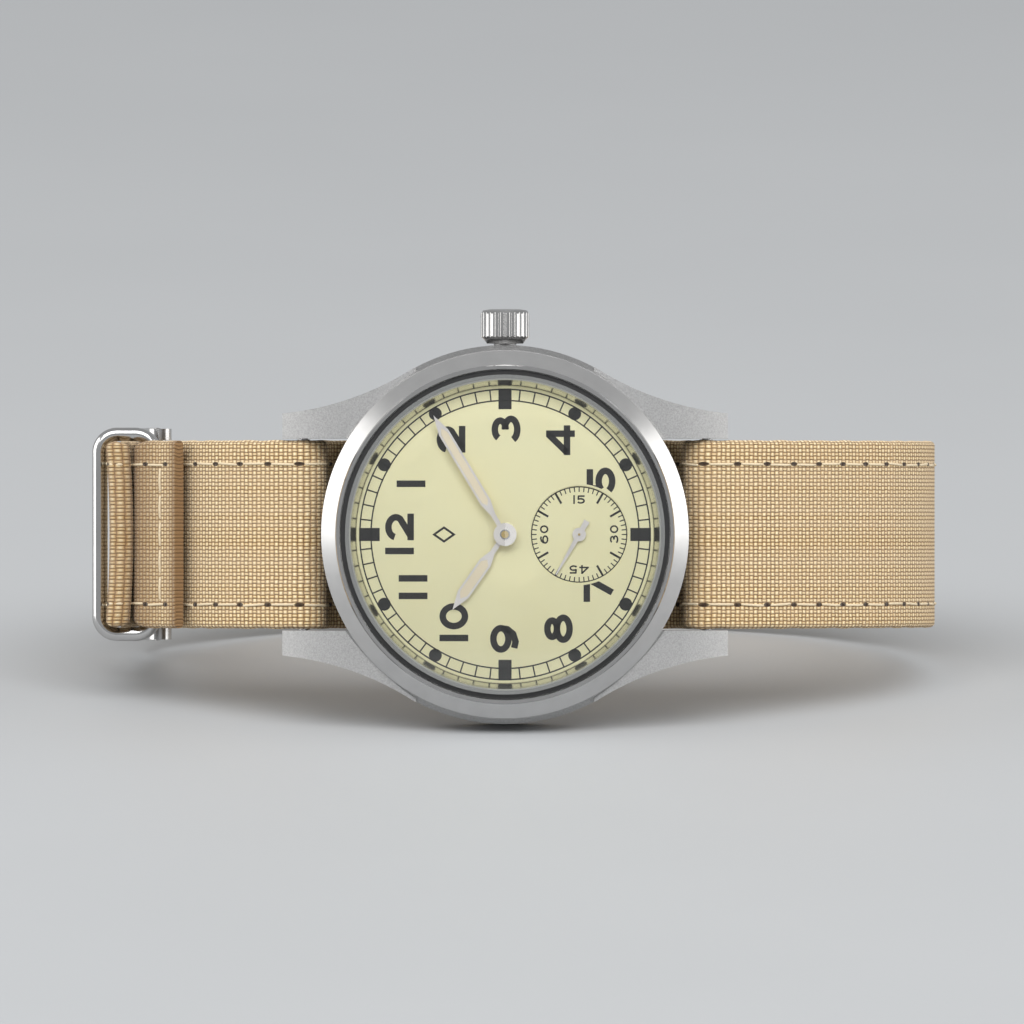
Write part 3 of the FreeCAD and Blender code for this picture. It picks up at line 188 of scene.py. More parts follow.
def metal(name, colour, rough, grain=(1, 1, 1), grain_depth=0.15, spread=0.08, fine=18.0, **extra):
    """Machined or polished metal: directional grain, faint smudges and small changes of tone."""
    n = Nodes(name)
    place = n.place()
    lines = n.noise(n.stretch(place, grain), fine, 4.0, 0.6)
    smudge = n.noise(place, 0.35, 3.0, 0.5)
    dark = tuple(c * 0.9 for c in colour[:3]) + (1,)
    tone = n.mix(n.ramp(smudge, (0.3, 0.0), (0.7, 1.0)), dark, colour)
    roughness = n.math("MULTIPLY_ADD", lines, spread, rough - spread / 2)
    roughness = n.math("MULTIPLY_ADD", smudge, spread * 0.8, roughness)
    normal = n.bump(lines, grain_depth, 0.00002)
    return n.finish(Base_Color=tone, Metallic=1.0, Roughness=roughness, Normal=normal, **extra)


def plain(name, colour, rough, mottled=0.12, scale=2.0, bumpy=0.1, **extra):
    """A moulded or painted surface with a little unevenness."""
    n = Nodes(name)
    place = n.place()
    patch = n.noise(place, scale, 4.0, 0.6)
    dark = tuple(c * (1 - mottled) for c in colour[:3]) + (1,)
    tone = n.mix(patch, dark, colour)
    roughness = n.math("MULTIPLY_ADD", patch, 0.12, rough - 0.06)
    normal = n.bump(n.noise(place, scale * 9, 3.0), bumpy, 0.00002)
    return n.finish(Base_Color=tone, Roughness=roughness, Normal=normal, **extra)


def case_steel(name, colour, rough, speck):
    """Blasted and lightly brushed steel, its tone speckled by a fine grain."""
    n = Nodes(name)
    place = n.place()
    grain = n.noise(place, 6.5, 6.0, 0.8)
    lines = n.noise(n.stretch(place, (1, 1, 14)), 6.0, 4.0, 0.7)
    patch = n.noise(place, 0.22, 2.0, 0.5)
    dark = tuple(c * 0.72 for c in colour[:3]) + (1,)
    tone = n.mix(n.ramp(grain, (0.38, 0.0), (0.60, 1.0)), dark, colour)
    roughness = n.math("MULTIPLY_ADD", grain, 0.16, rough - 0.08)
    roughness = n.math("MULTIPLY_ADD", patch, 0.10, roughness)
    pitted = n.bump(grain, speck, 0.00003)
    normal = n.bump(lines, speck * 0.4, 0.00002, pitted)
    return n.finish(Base_Color=tone, Metallic=1.0, Roughness=roughness, Normal=normal)


def bezel_steel():
    """Fine circular brushing on the slope, mirror polish on the lip at its top and inside."""
    n = Nodes("bezel_steel")
    east, north, out = n.place_parts()
    place = n.vector(east, north, out)
    radius = n.math("SQRT", n.squares(east, north))
    lines = n.noise(n.vector(radius, out, 0.0), 16.0, 4.0, 0.7)
    slope = n.ramp(n.math("SUBTRACT", radius, LIP_RADIUS), (0.0, 0.0), (0.06, 1.0))
    roughness = n.math("MULTIPLY_ADD", slope, 0.21, 0.07)
    roughness = n.math("MULTIPLY_ADD", lines, 0.06, roughness)
    smear = n.noise(place, 0.5, 2.0, 0.5)
    tone = n.mix(smear, (0.50, 0.495, 0.49, 1), (0.60, 0.595, 0.59, 1))
    grain = n.noise(place, 12.0, 5.0, 0.7)
    normal = n.bump(grain, 0.12, 0.00002, n.bump(lines, 0.12, 0.00002))
    return n.finish(Base_Color=tone, Metallic=1.0, Roughness=roughness, Normal=normal)


def clear_crystal():
    """Domed crystal: lets light through to the dial and shows a faint reflection."""
    n = Nodes("clear_crystal")
    place = n.place()
    clear = n.add("ShaderNodeBsdfTransparent")
    clear.inputs[0].default_value = (0.985, 0.99, 0.985, 1)
    gloss = n.add("ShaderNodeBsdfGlossy")
    gloss.inputs["Roughness"].default_value = 0.03
    gloss.inputs["Color"].default_value = (1, 1, 1, 1)
    facing = n.add("ShaderNodeFresnel")
    facing.inputs["IOR"].default_value = 1.42
    smear = n.noise(place, 0.25, 3.0, 0.6)
    share = n.math("MULTIPLY", facing.outputs[0], n.math("MULTIPLY_ADD", smear, 0.3, 0.85))
    mixed = n.add("ShaderNodeMixShader")
    n.link(share, mixed.inputs[0])
    n.link(clear.outputs[0], mixed.inputs[1])
    n.link(gloss.outputs[0], mixed.inputs[2])
    n.link(mixed.outputs[0], n.output.inputs[0])
    n.tree.nodes.remove(n.shader)
    return n.material


def dial_paint():
    """Cream lacquer with a soft mottle and a fine orange-peel."""
    n = Nodes("dial_paint")
    place = n.place()
    patch = n.noise(place, 0.16, 3.0, 0.55)
    fine = n.noise(place, 14.0, 3.0, 0.6)
    tone = n.mix(patch, (0.93, 0.865, 0.54, 1), (0.97, 0.93, 0.64, 1))
    tone = n.mix(n.math("MULTIPLY", fine, 0.25), tone, (0.90, 0.84, 0.54, 1))
    roughness = n.math("MULTIPLY_ADD", fine, 0.1, 0.42)
    normal = n.bump(fine, 0.05, 0.00002)
    return n.finish(Base_Color=tone, Roughness=roughness, Normal=normal)


def canvas():
    """Plain-woven cotton: cells of warp and weft over and under, each yarn its own tint; painted shade in the
    gaps, needle holes, keeper flap and tail, painted highlight on the yarn crowns.
    """
    n = Nodes("canvas")
    uv = n.add("ShaderNodeUVMap").outputs[0]
    split = n.add("ShaderNodeSeparateXYZ")
    n.link(uv, split.inputs[0])
    wobble = n.noise(uv, 0.9, 2.0, 0.5)
    across = n.math("MULTIPLY_ADD", wobble, 0.10, split.outputs[0])
    along = n.math("MULTIPLY_ADD", wobble, 0.16, split.outputs[1])
    cell_u = n.math("DIVIDE", across, WEAVE_ACROSS)
    cell_v = n.math("DIVIDE", along, WEAVE_ALONG)
    wave_u = n.math("ABSOLUTE", n.math("SINE", n.math("MULTIPLY", cell_u, math.pi)))
    wave_v = n.math("ABSOLUTE", n.math("SINE", n.math("MULTIPLY", cell_v, math.pi)))
    parity = n.math("PINGPONG", n.math("ADD", n.math("FLOOR", cell_u), n.math("FLOOR", cell_v)), 1.0)
    warp = n.math("MULTIPLY", n.math("POWER", wave_u, 0.9), n.math("POWER", wave_v, 0.35))
    weft = n.math("MULTIPLY", n.math("POWER", wave_u, 0.35), n.math("POWER", wave_v, 0.9))
    over = n.math("MULTIPLY", parity, warp)
    under = n.math("MULTIPLY", n.math("SUBTRACT", 1.0, parity), weft)
    height = n.math("SUBTRACT", n.math("ADD", over, under), n.math("MULTIPLY", parity, 0.18))
    fibre = n.noise(uv, 9.0, 5.0, 0.75)
    row_u = n.math("FLOOR", cell_u)
    row_v = n.math("FLOOR", cell_v)
    yarn_u = n.put(n.add("ShaderNodeTexWhiteNoise", noise_dimensions="1D"), W=row_u)
    yarn_v = n.put(n.add("ShaderNodeTexWhiteNoise", noise_dimensions="1D"), W=row_v)
    cell = n.vector(row_u, row_v, 0.0)
    cell_tint = n.put(n.add("ShaderNodeTexWhiteNoise", noise_dimensions="3D"), Vector=cell)
    relief = n.math("MULTIPLY_ADD", fibre, 0.35, n.math("SUBTRACT", height, 0.17))
    # painted shade and highlight: by relief height, the gaps between the yarns are painted dark and the yarn
    # crowns light
    base = n.ramp(
        relief,
        (0.14, (0.13, 0.062, 0.020, 1)),
        (0.42, (0.50, 0.325, 0.140, 1)),
        (0.70, (0.74, 0.560, 0.300, 1)),
        (0.95, (0.93, 0.800, 0.530, 1)),
    )
    warm = n.mix(n.math("MULTIPLY", yarn_v.outputs[0], 0.22), base, (0.62, 0.40, 0.20, 1))
    cool = n.mix(n.math("MULTIPLY", yarn_u.outputs[0], 0.16), warm, (0.80, 0.70, 0.58, 1))
    tone = n.mix(n.math("MULTIPLY", cell_tint.outputs[0], 0.16), cool, (0.42, 0.25, 0.13, 1))
    patch = n.noise(uv, 0.12, 3.0, 0.5)
    tone = n.mix(n.math("MULTIPLY_ADD", patch, 0.3, -0.06, clamp=True), tone, (0.55, 0.40, 0.22, 1))
    # painted shade: the keeper flap and the tail are darkened by distance along the strap, standing in for the
    # shade that falls on them
    reach = n.math("DIVIDE", split.outputs[1], STRAP_END)
    flap_painted_shade = n.ramp(reach, (0.0, 0.85), (0.0016, 0.35), (0.008, 0.10), (0.018, 0.65), (0.09, 0.4), (0.12, 0.0))
    tail = n.ramp(reach, (0.92, 0.0), (0.945, 0.35), (0.985, 0.4), (1.0, 0.8))
    tone = n.mix(n.math("ADD", flap_painted_shade, tail), tone, (0.20, 0.105, 0.040, 1))
    # needle holes along both edges: a dent in the bump, with painted shade darkening each hole nearly black
    pitch = n.math("FRACT", n.math("DIVIDE", split.outputs[1], STITCH_PITCH))
    off_v = n.math("MULTIPLY", n.math("SUBTRACT", pitch, 0.5), STITCH_PITCH)
    off_u = n.math("SUBTRACT", n.math("ABSOLUTE", split.outputs[0]), STITCH_ROW)
    apart = n.squares(n.math("DIVIDE", off_v, NEEDLE_LONG), n.math("DIVIDE", off_u, NEEDLE_WIDE))
    hole = n.ramp(apart, (0.0, 1.0), (0.75, 0.85), (1.0, 0.0))
    tone = n.mix(hole, tone, (0.035, 0.020, 0.012, 1))
    dent = n.math("MULTIPLY_ADD", hole, -0.8, relief)
    normal = n.bump(dent, 0.85, 0.00016)
    normal = n.bump(fibre, 0.35, 0.00006, normal)
    n.put(n.shader, Sheen_Weight=0.18, Sheen_Roughness=0.5, Specular_IOR_Level=0.2)
    return n.finish(Base_Color=tone, Roughness=0.92, Normal=normal)


LIP_RADIUS = 16.2
STRAP_END = 284.5
WEAVE_ACROSS = 0.36
WEAVE_ALONG = 0.47
STITCH_PITCH = 3.15
STITCH_ROW = 6.75
NEEDLE_LONG = 0.42
NEEDLE_WIDE = 0.22
CAD_SHARP_DEG = 28.0
canvas_cloth = canvas()
thread_cotton = plain("thread_cotton", (0.78, 0.65, 0.45, 1), 0.85, mottled=0.35, scale=6.0, bumpy=0.5)
black_ink = plain("black_ink", (0.012, 0.011, 0.012, 1), 0.42, mottled=0.3, scale=1.5)
steel_case = case_steel("steel_case", (0.46, 0.457, 0.454, 1), 0.36, 1.0)

FINISHES = {
    "case_steel": steel_case,
    "bezel_steel": bezel_steel(),
    "crystal": clear_crystal(),
    "rubber": plain("black_rubber", (0.012, 0.012, 0.013, 1), 0.6, bumpy=0.4),
    "polished_ring": metal("polished_ring", (0.80, 0.79, 0.74, 1), 0.14, (1, 1, 6), 0.05, 0.05),
    "crown_steel": metal("crown_steel", (0.52, 0.515, 0.51, 1), 0.18, (4, 1, 1), 0.08, 0.08),
    "dial_paint": dial_paint(),
    "hand_steel": metal("hand_steel", (0.90, 0.855, 0.85, 1), 0.36, (1, 1, 1), 0.2, 0.12, fine=26.0),
    "lume": plain("lume", (0.98, 0.86, 0.68, 1), 0.75, mottled=0.14, scale=7.0, bumpy=0.5),
    "plate_brass": metal("plate_brass", (0.66, 0.62, 0.54, 1), 0.30, (1, 12, 1), 0.15, 0.1),
    "wheel_brass": metal("wheel_brass", (0.80, 0.60, 0.27, 1), 0.26, (1, 1, 1), 0.12, 0.1),
    "movement_steel": metal("movement_steel", (0.56, 0.56, 0.57, 1), 0.22, (8, 1, 1), 0.1, 0.1),
    "ring_plastic": plain("ring_plastic", (0.72, 0.71, 0.68, 1), 0.5),
    "ruby": plain("ruby", (0.55, 0.02, 0.06, 1), 0.08, Transmission_Weight=0.6, IOR=1.76),
    "blued_spring": metal("blued_spring", (0.06, 0.09, 0.28, 1), 0.22, (1, 1, 8), 0.1, 0.1),
    "canvas": canvas_cloth,
    "polished_wire": metal("polished_wire", (0.56, 0.555, 0.55, 1), 0.12, (3, 1, 1), 0.06, 0.07),
}
slots = {entry["node"]: entry["material_slot"] for entry in frame["record"]["subparts"]}
for node_name, node in frame["nodes"].items():
    node.data.materials.clear()
    node.data.materials.append(FINISHES[slots[node_name]])
    node.data.shade_smooth()
    node.data.set_sharp_from_angle(angle=math.radians(CAD_SHARP_DEG))

# ---------------------------------------------------------------- strap

# The middle line of the strap, as corners of (Y, Z, radius) from the keeper flap's sewn end to the tail's.
STRAP_WIDTH = 18.1
STRAP_THICK = 1.1
MAIN_Y = 32.0
FOLD_Y = 35.3
TAIL_Y = 36.65
HEM_Y = 37.85
KEEPER_Z = (-16.0, -26.5)
HAIR = 0.001
FOLD_MIDDLE_Y = (MAIN_Y + FOLD_Y) / 2
FOLD_RADIUS = (FOLD_Y - MAIN_Y) / 2 - HAIR
HEM_RADIUS = (HEM_Y - TAIL_Y) / 2 - HAIR
ROUND = -1.0  # a corner that is rounded as far as its shorter side lets it
STRAP_CORNERS = [
    (31.35, -9.35, 0),
    (33.1, -11.8, 3.0),
    (FOLD_Y, -14.2, 3.0),
    (FOLD_Y, -17.9, 1.8),
    (33.5, -20.2, 1.8),
    (33.5, -22.2, 1.8),
    (FOLD_Y, -24.6, 1.8),
    (FOLD_Y, -34.65, FOLD_RADIUS),
    (MAIN_Y, -34.65, FOLD_RADIUS),
    (MAIN_Y, -14.2, ROUND),
    (28.4, -7.9, ROUND),
    (23.8, -3.75, ROUND),
    (17.65, -1.05, 1.65),
    (17.65, -7.75, 2.2),
    (-17.65, -7.75, 2.2),
    (-17.65, -1.05, 1.65),
    (-24.0, -3.3, ROUND),
    (-30.0, -8.0, ROUND),
    (-36.2, -14.2, ROUND),
    (-40.0, -20.8, ROUND),
    (-41.4, -28.2, ROUND),
    (-40.7, -36.0, ROUND),
    (-37.2, -43.5, ROUND),
    (-30.6, -49.6, ROUND),
    (-22.0, -53.9, ROUND),
    (-11.0, -56.2, ROUND),
    (1.0, -56.6, ROUND),
    (12.5, -55.2, ROUND),
    (22.0, -51.8, ROUND),
    (29.4, -46.6, ROUND),
    (34.1, -41.0, ROUND),
    (TAIL_Y, -34.0, ROUND),
    (TAIL_Y, -14.0, HEM_RADIUS),
    (HEM_Y, -14.0, HEM_RADIUS),
    (HEM_Y, -23.5, 0),
]
ROUND_SHARE = 0.49
LINE_STEP = 0.55
ARC_STEP = math.radians(9.0)


def strap_line(corners):
    """Samples the strap's middle line: (distance along it, point, heading) in the (Y, Z) plane."""
    samples = []
    here = Vector(corners[0][:2])
    reach = 0.0
    for i in range(1, len(corners)):
        corner = Vector(corners[i][:2])
        before = (corner - Vector(corners[i - 1][:2])).normalized()
        back, swing, radius = 0.0, 0.0, 0.0
        if i < len(corners) - 1:
            after = (Vector(corners[i + 1][:2]) - corner).normalized()
            swing = math.atan2(before.x * after.y - before.y * after.x, before.dot(after))
            radius = corners[i][2]
            if radius == ROUND:
                shorter = min(
                    (corner - Vector(corners[i - 1][:2])).length, (Vector(corners[i + 1][:2]) - corner).length
                )
                radius = ROUND_SHARE * shorter / math.tan(abs(swing) / 2)
            back = radius * math.tan(abs(swing) / 2)
        stop = corner - before * back
        size = (stop - here).length
        count = max(1, round(size / LINE_STEP))
        for k in range(count):
            samples.append((reach + size * k / count, here + (stop - here) * (k / count), before))
        reach += size
        here = stop
        if swing:
            side = 1 if swing > 0 else -1
            middle = stop + Vector((-before.y, before.x)) * (radius * side)
            arm = stop - middle
            count = max(2, math.ceil(abs(swing) / ARC_STEP), math.ceil(radius * abs(swing) / LINE_STEP))
            for k in range(count):
                turn = Matrix.Rotation(swing * k / count, 2)
                samples.append((reach + radius * abs(swing) * k / count, middle + turn @ arm, turn @ before))
            reach += radius * abs(swing)
            turn = Matrix.Rotation(swing, 2)
            here = middle + turn @ arm
        else:
            samples.append((reach, stop, before))
    return samples


STRAP_LINE = strap_line(STRAP_CORNERS)
STRAP_LONG = STRAP_LINE[-1][0]


def strap_at(reach):
    """Point and heading at a distance along the strap."""
    reach = min(max(reach, 0.0), STRAP_LONG)
    for (s0, p0, h0), (s1, p1, h1) in zip(STRAP_LINE, STRAP_LINE[1:]):
        if reach <= s1:
            share = (reach - s0) / max(s1 - s0, 1e-9)
            return p0.lerp(p1, share), h0.lerp(h1, share).normalized()
    return STRAP_LINE[-1][1], STRAP_LINE[-1][2]


SELVEDGE_SWAY = 0.045
SELVEDGE_INSET = 0.02
KEPT_Y = 34.0
PINCH = 0.72
PINCH_LONG = 1.5
BOW_FROM_Y = 36.0
BOW_FROM_Z = -32.0
BOW_FADE = 6.0
BOW_LOW = -0.25
BOW_RISE = 0.40


def strap_half_width(point, reach):
    """Half the strap's width: a slightly uneven selvedge, squeezed where a keeper goes round it."""
    sway = SELVEDGE_SWAY * math.sin(reach * 1.9) * math.sin(reach * 0.37)
    half = STRAP_WIDTH / 2 + sway - SELVEDGE_INSET
    if point.x > KEPT_Y:
        squeeze = max(math.exp(-(((point.y - z) / PINCH_LONG) ** 2)) for z in KEEPER_Z)
        half -= PINCH * squeeze
    return half


def strap_bow(point, across):
    """The tail under the keepers bows across its width: its edges stand further out than its middle."""
    if point.x < BOW_FROM_Y or point.y < BOW_FROM_Z:
        return 0.0
    fade = min(1.0, (point.y - BOW_FROM_Z) / BOW_FADE)
    return fade * (BOW_LOW + BOW_RISE * (across / (STRAP_WIDTH / 2)) ** 2)


def strap_face(reach, across, side, lift=0.0):
    """A bench point on the strap's left (side 1) or right (side -1) face, lifted off it."""
    point, heading = strap_at(reach)
    normal = Vector((-heading.y, heading.x)) * side
    spot = point + normal * (STRAP_THICK / 2 + lift)
    return (across, spot.x + strap_bow(point, across), spot.y)


def build_strap():
    """The band as a dense tube of rounded-rectangle sections; UV is (mm across, mm along)."""
    flat_count = 22
    edge = 0.42
    round_count = 5
    end_thin = 0.9
    edge_wrap = 1.4
    section = []
    for k in range(flat_count + 1):
        section.append((-1 + 2 * k / flat_count, 0.0, 1.0, 0.0))
    for k in range(1, 2 * round_count):
        angle = math.pi / 2 - math.pi * k / (2 * round_count)
        section.append((1, math.cos(angle), math.sin(angle), 1))
    for k in range(flat_count + 1):
        section.append((1 - 2 * k / flat_count, 0.0, -1.0, 0.0))
    for k in range(1, 2 * round_count):
        angle = -math.pi / 2 - math.pi * k / (2 * round_count)
        section.append((-1, -math.cos(angle), math.sin(angle), 1))
    verts, uvs, faces = [], [], []
    ring = len(section)
    last = len(STRAP_LINE) - 1
    for row, (reach, point, heading) in enumerate(STRAP_LINE):
        normal = Vector((-heading.y, heading.x))
        half = strap_half_width(point, reach)
        for flat, out, up, is_edge in section:
            x = flat * (half - edge) + (math.copysign(out * edge, flat) if is_edge else 0.0)
            thick = STRAP_THICK / 2
            if row in (0, last):
                thick *= end_thin
            spot = point + normal * (up * thick)
            verts.append((x, spot.x + strap_bow(point, x), spot.y))
            wrapped = math.copysign(half - edge + out * edge * edge_wrap, flat) if is_edge else x
            uvs.append((wrapped, reach))
    for row in range(last):
        for k in range(ring):
            a, b = row * ring + k, row * ring + (k + 1) % ring
            faces.append((a, b, b + ring, a + ring))
    faces.append(tuple(range(ring))[::-1])
    faces.append(tuple(last * ring + k for k in range(ring)))
    return new_mesh("strap_band", verts, faces, "watch", canvas_cloth, uvs=uvs, sharp_deg=60.0)


def cut_through(piece, tool, crossing=False):
    """Cuts the tool out of a piece and throws the tool away; crossing is for a piece that crosses itself."""
    cutter = piece.modifiers.new("hole", "BOOLEAN")
    cutter.object = tool
    cutter.operation = "DIFFERENCE"
    cutter.solver = "EXACT"
    cutter.use_self = crossing
    graph = bpy.context.evaluated_depsgraph_get()
    graph.update()
    shaped = bpy.data.meshes.new_from_object(piece.evaluated_get(graph))
    piece.modifiers.clear()
    old = piece.data
    shaped.name = old.name + "_cut"
    piece.data = shaped
    bpy.data.meshes.remove(old)
    bpy.data.objects.remove(tool)


def prisms(name, shapes, material):
    """Closed prisms over outlines of (a, b) points, as one tool; frame_at(a, b, c) gives the bench point."""
    verts, faces = [], []
    for outline, frame_at, depth in shapes:
        base, count = len(verts), len(outline)
        verts += [frame_at(a, b, c) for c in (-depth, depth) for a, b in outline]
        faces.append(tuple(base + k for k in range(count))[::-1])
        faces.append(tuple(base + k for k in range(count, 2 * count)))
        faces += [
            (base + k, base + (k + 1) % count, base + (k + 1) % count + count, base + k + count)
            for k in range(count)
        ]
    piece = bpy.data.objects.new(name, closed_mesh(name, verts, faces, material))
    bpy.context.collection.objects.link(piece)
    return piece


ASKEW = Vector((0.31, 0.52, 0.79))  # a direction that no thread runs along


def tube(verts, faces, points, radii, sides=8):
    """Adds a round tube with closed ends along bench points to verts and faces."""
    base = len(verts)
    count = len(points)
    points = [Vector(p) for p in points]
    for k, (point, radius) in enumerate(zip(points, radii)):
        way = (points[min(k + 1, count - 1)] - points[max(k - 1, 0)]).normalized()
        side = way.cross(ASKEW).normalized()
        other = way.cross(side)
        for j in range(sides):
            angle = 2 * math.pi * j / sides
            verts.append(point + (side * math.cos(angle) + other * math.sin(angle)) * radius)
    for k in range(count - 1):
        for j in range(sides):
            a, b = base + k * sides + j, base + k * sides + (j + 1) % sides
            faces.append((a, b, b + sides, a + sides))
    faces.append(tuple(base + j for j in range(sides))[::-1])
    faces.append(tuple(base + (count - 1) * sides + j for j in range(sides)))


strap = build_strap()

HINGE = (FOLD_MIDDLE_Y, -33.0)
REST = (35.75, -41.6)
HOLE_PITCH = 6.5
HOLE_LONG = 4.6
HOLE_WIDE = 1.7
HOLE_STEPS = (-4, -3, -2, -1, 0, 1, 2)
HOLE_DRIFT = 0.6
HOLE_DEPTH = 1.3
SLOT_HALF = 1.4
SLOT_NEAR = -31.4
SLOT_FAR = -37.0
SLOT_DEPTH = 3.0
SEARCH_BACK = 40.0
SEARCH_STEP = 0.1
SEARCH_COUNT = 150
WIRE_RADIUS = 0.65
TONGUE_RADIUS = 0.55
TONGUE_GAP = 0.05
hinge_to_rest = Vector(REST) - Vector(HINGE)
tongue_lean = math.asin((WIRE_RADIUS + TONGUE_RADIUS + TONGUE_GAP) / hinge_to_rest.length)
tongue_way = Matrix.Rotation(tongue_lean, 2) @ hinge_to_rest.normalized()


def off_tongue(reach):
    """How far the strap's middle line is from the tongue's, at a distance along the strap."""
    arm = strap_at(reach)[0] - Vector(HINGE)
    return abs(arm.x * tongue_way.y - arm.y * tongue_way.x)


tail_reaches = [STRAP_LONG - SEARCH_BACK + SEARCH_STEP * k for k in range(SEARCH_COUNT)]
used_hole = min(tail_reaches, key=off_tongue)


def hole_outline(long, wide, steps=10):
    """An oval with straight sides, long along its first axis."""
    flat = (long - wide) / 2
    points = []
    for end in (1, -1):
        for k in range(steps + 1):
            angle = math.pi * k / steps - math.pi / 2
            points.append((end * (flat + wide / 2 * math.cos(angle)), end * wide / 2 * math.sin(angle)))
    return points


def on_strap(reach):
    """frame_at for a small patch of the strap: a along, b across, c out of its face."""
    point, heading = strap_at(reach)

    def frame_at(a, b, c):
        spot = point + heading * a + Vector((-heading.y, heading.x)) * c
        return (b, spot.x + strap_bow(point, b), spot.y)

    return frame_at


hole_places = [used_hole + HOLE_PITCH * step + (HOLE_DRIFT if step > 0 else 0.0) for step in HOLE_STEPS]
openings = [(hole_outline(HOLE_LONG, HOLE_WIDE), on_strap(reach), HOLE_DEPTH) for reach in hole_places]
slot_outline = [
    (-SLOT_HALF, SLOT_NEAR),
    (SLOT_HALF, SLOT_NEAR),
    (SLOT_HALF, SLOT_FAR),
    (-SLOT_HALF, SLOT_FAR),
]
openings.append((slot_outline, lambda a, b, c: (a, FOLD_MIDDLE_Y + c, b), SLOT_DEPTH))
cut_through(strap, prisms("strap_openings", openings, canvas_cloth), crossing=True)
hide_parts("strap")

# sewn edges of the holes: short turns of thread side by side round each oval
SEWN_OUT = 0.5
SEWN_IN = -0.1
SEWN_STEPS = 13
SEWN_SIDES = ((SEWN_STEPS, SEWN_STEPS + 1), (2 * SEWN_STEPS + 1, 0))
SEWN_JITTER = 0.05
thread_verts, thread_faces = [], []
for reach in hole_places:
    frame_at = on_strap(reach)
    for side in (1, -1):
        outline = hole_outline(HOLE_LONG + SEWN_OUT, HOLE_WIDE + SEWN_OUT, steps=SEWN_STEPS)
        ends = hole_outline(HOLE_LONG + SEWN_IN, HOLE_WIDE + SEWN_IN, steps=SEWN_STEPS)
        spots = list(zip(outline, ends))
        for share in (0.2, 0.4, 0.6, 0.8):
            for a, b in SEWN_SIDES:
                outer = Vector(outline[a]).lerp(Vector(outline[b]), share)
                inner = Vector(ends[a]).lerp(Vector(ends[b]), share)
                spots.append((outer, inner))
        for outer, inner in spots:
            jitter = random.uniform(-SEWN_JITTER, SEWN_JITTER)
            face = STRAP_THICK / 2
            points = [
                frame_at(outer[0] * 1.03, outer[1] * 1.03, side * (face - 0.04)),
                frame_at(outer[0] * 0.98, outer[1] * 0.98 + jitter, side * (face + 0.06)),
                frame_at(inner[0] * 1.02, inner[1] * 1.02, side * (face + 0.05)),
                frame_at(inner[0], inner[1], side * (face - 0.12)),
            ]
            tube(thread_verts, thread_faces, points, [0.11, 0.13, 0.13, 0.10], sides=6)

# rows of running stitches along both edges, and one across where the keeper flap is sewn down
STITCH_LONG = 2.45
STITCH_SWAY = 0.10
THREAD_RADIUS = 0.12
STITCH_SHAPE = (
    (-0.03, -0.22, 0.75),
    (0.06, 0.00, 0.95),
    (0.3, 0.07, 1.0),
    (0.7, 0.07, 1.0),
    (0.94, 0.00, 0.95),
    (1.03, -0.22, 0.75),
)
stitch_count = int(STRAP_LONG / STITCH_PITCH)
for k in range(stitch_count):
    for row in (1, -1):
        for side in (1, -1):
            start = (k + 0.5) * STITCH_PITCH + (STITCH_PITCH - STITCH_LONG) / 2
            sway = [random.uniform(-STITCH_SWAY, STITCH_SWAY) for _ in range(2)]
            points, radii = [], []
            for share, lift, swell in STITCH_SHAPE:
                across = row * STITCH_ROW + sway[0] * (1 - share) + sway[1] * share
                points.append(strap_face(start + share * STITCH_LONG, across, side, lift))
                radii.append(THREAD_RADIUS * swell)
            tube(thread_verts, thread_faces, points, radii)
CROSS_REACH = 2.4
CROSS_PITCH = 2.6
for k in range(-2, 3):
    for side in (1, -1):
        points, radii = [], []
        for share, lift in ((-0.45, -0.2), (-0.38, 0.02), (0.0, 0.08), (0.38, 0.02), (0.45, -0.2)):
            points.append(strap_face(CROSS_REACH, (k + share) * CROSS_PITCH, side, lift))
            radii.append(THREAD_RADIUS)
        tube(thread_verts, thread_faces, points, radii)
stitches = new_mesh("strap_stitching", thread_verts, thread_faces, "watch", thread_cotton)

# ---------------------------------------------------------------- printing on the dial

INK_THICK = 0.012
TRACK_OUT = 13.9
TRACK_IN = 12.83
TRACK_STROKE = 0.13
BAR_IN = 12.0
BAR_OUT = 13.97
BAR_WIDE = 1.25
DOT_REACH = 13.35
DOT_RADIUS = 0.62
NUMERAL_HIGH = 2.75
NUMERAL_STROKE = 0.62
SECONDS_CENTRE = (0.0, -7.1)
SECONDS_OUT = 4.6
SECONDS_RING = 4.56
SECONDS_IN = 4.08
SECONDS_LONG_IN = 3.42
SECONDS_STROKE = 0.1
SECONDS_LONG_STROKE = 0.2
SECONDS_TEXT_REACH = 3.35
SECONDS_TEXT_HIGH = 0.84
SECONDS_TEXT_STROKE = 0.15
SECONDS_TEXT_GAP = 0.14
RECESS_Z = -0.1
RECESS_CLEAR = 4.85
RECESS_DEPTH = 0.5


def circle(centre, radius, steps):
    """Points round a circle."""
    turns = [2 * math.pi * k / steps for k in range(steps)]
    return [(centre[0] + radius * math.cos(turn), centre[1] + radius * math.sin(turn)) for turn in turns]


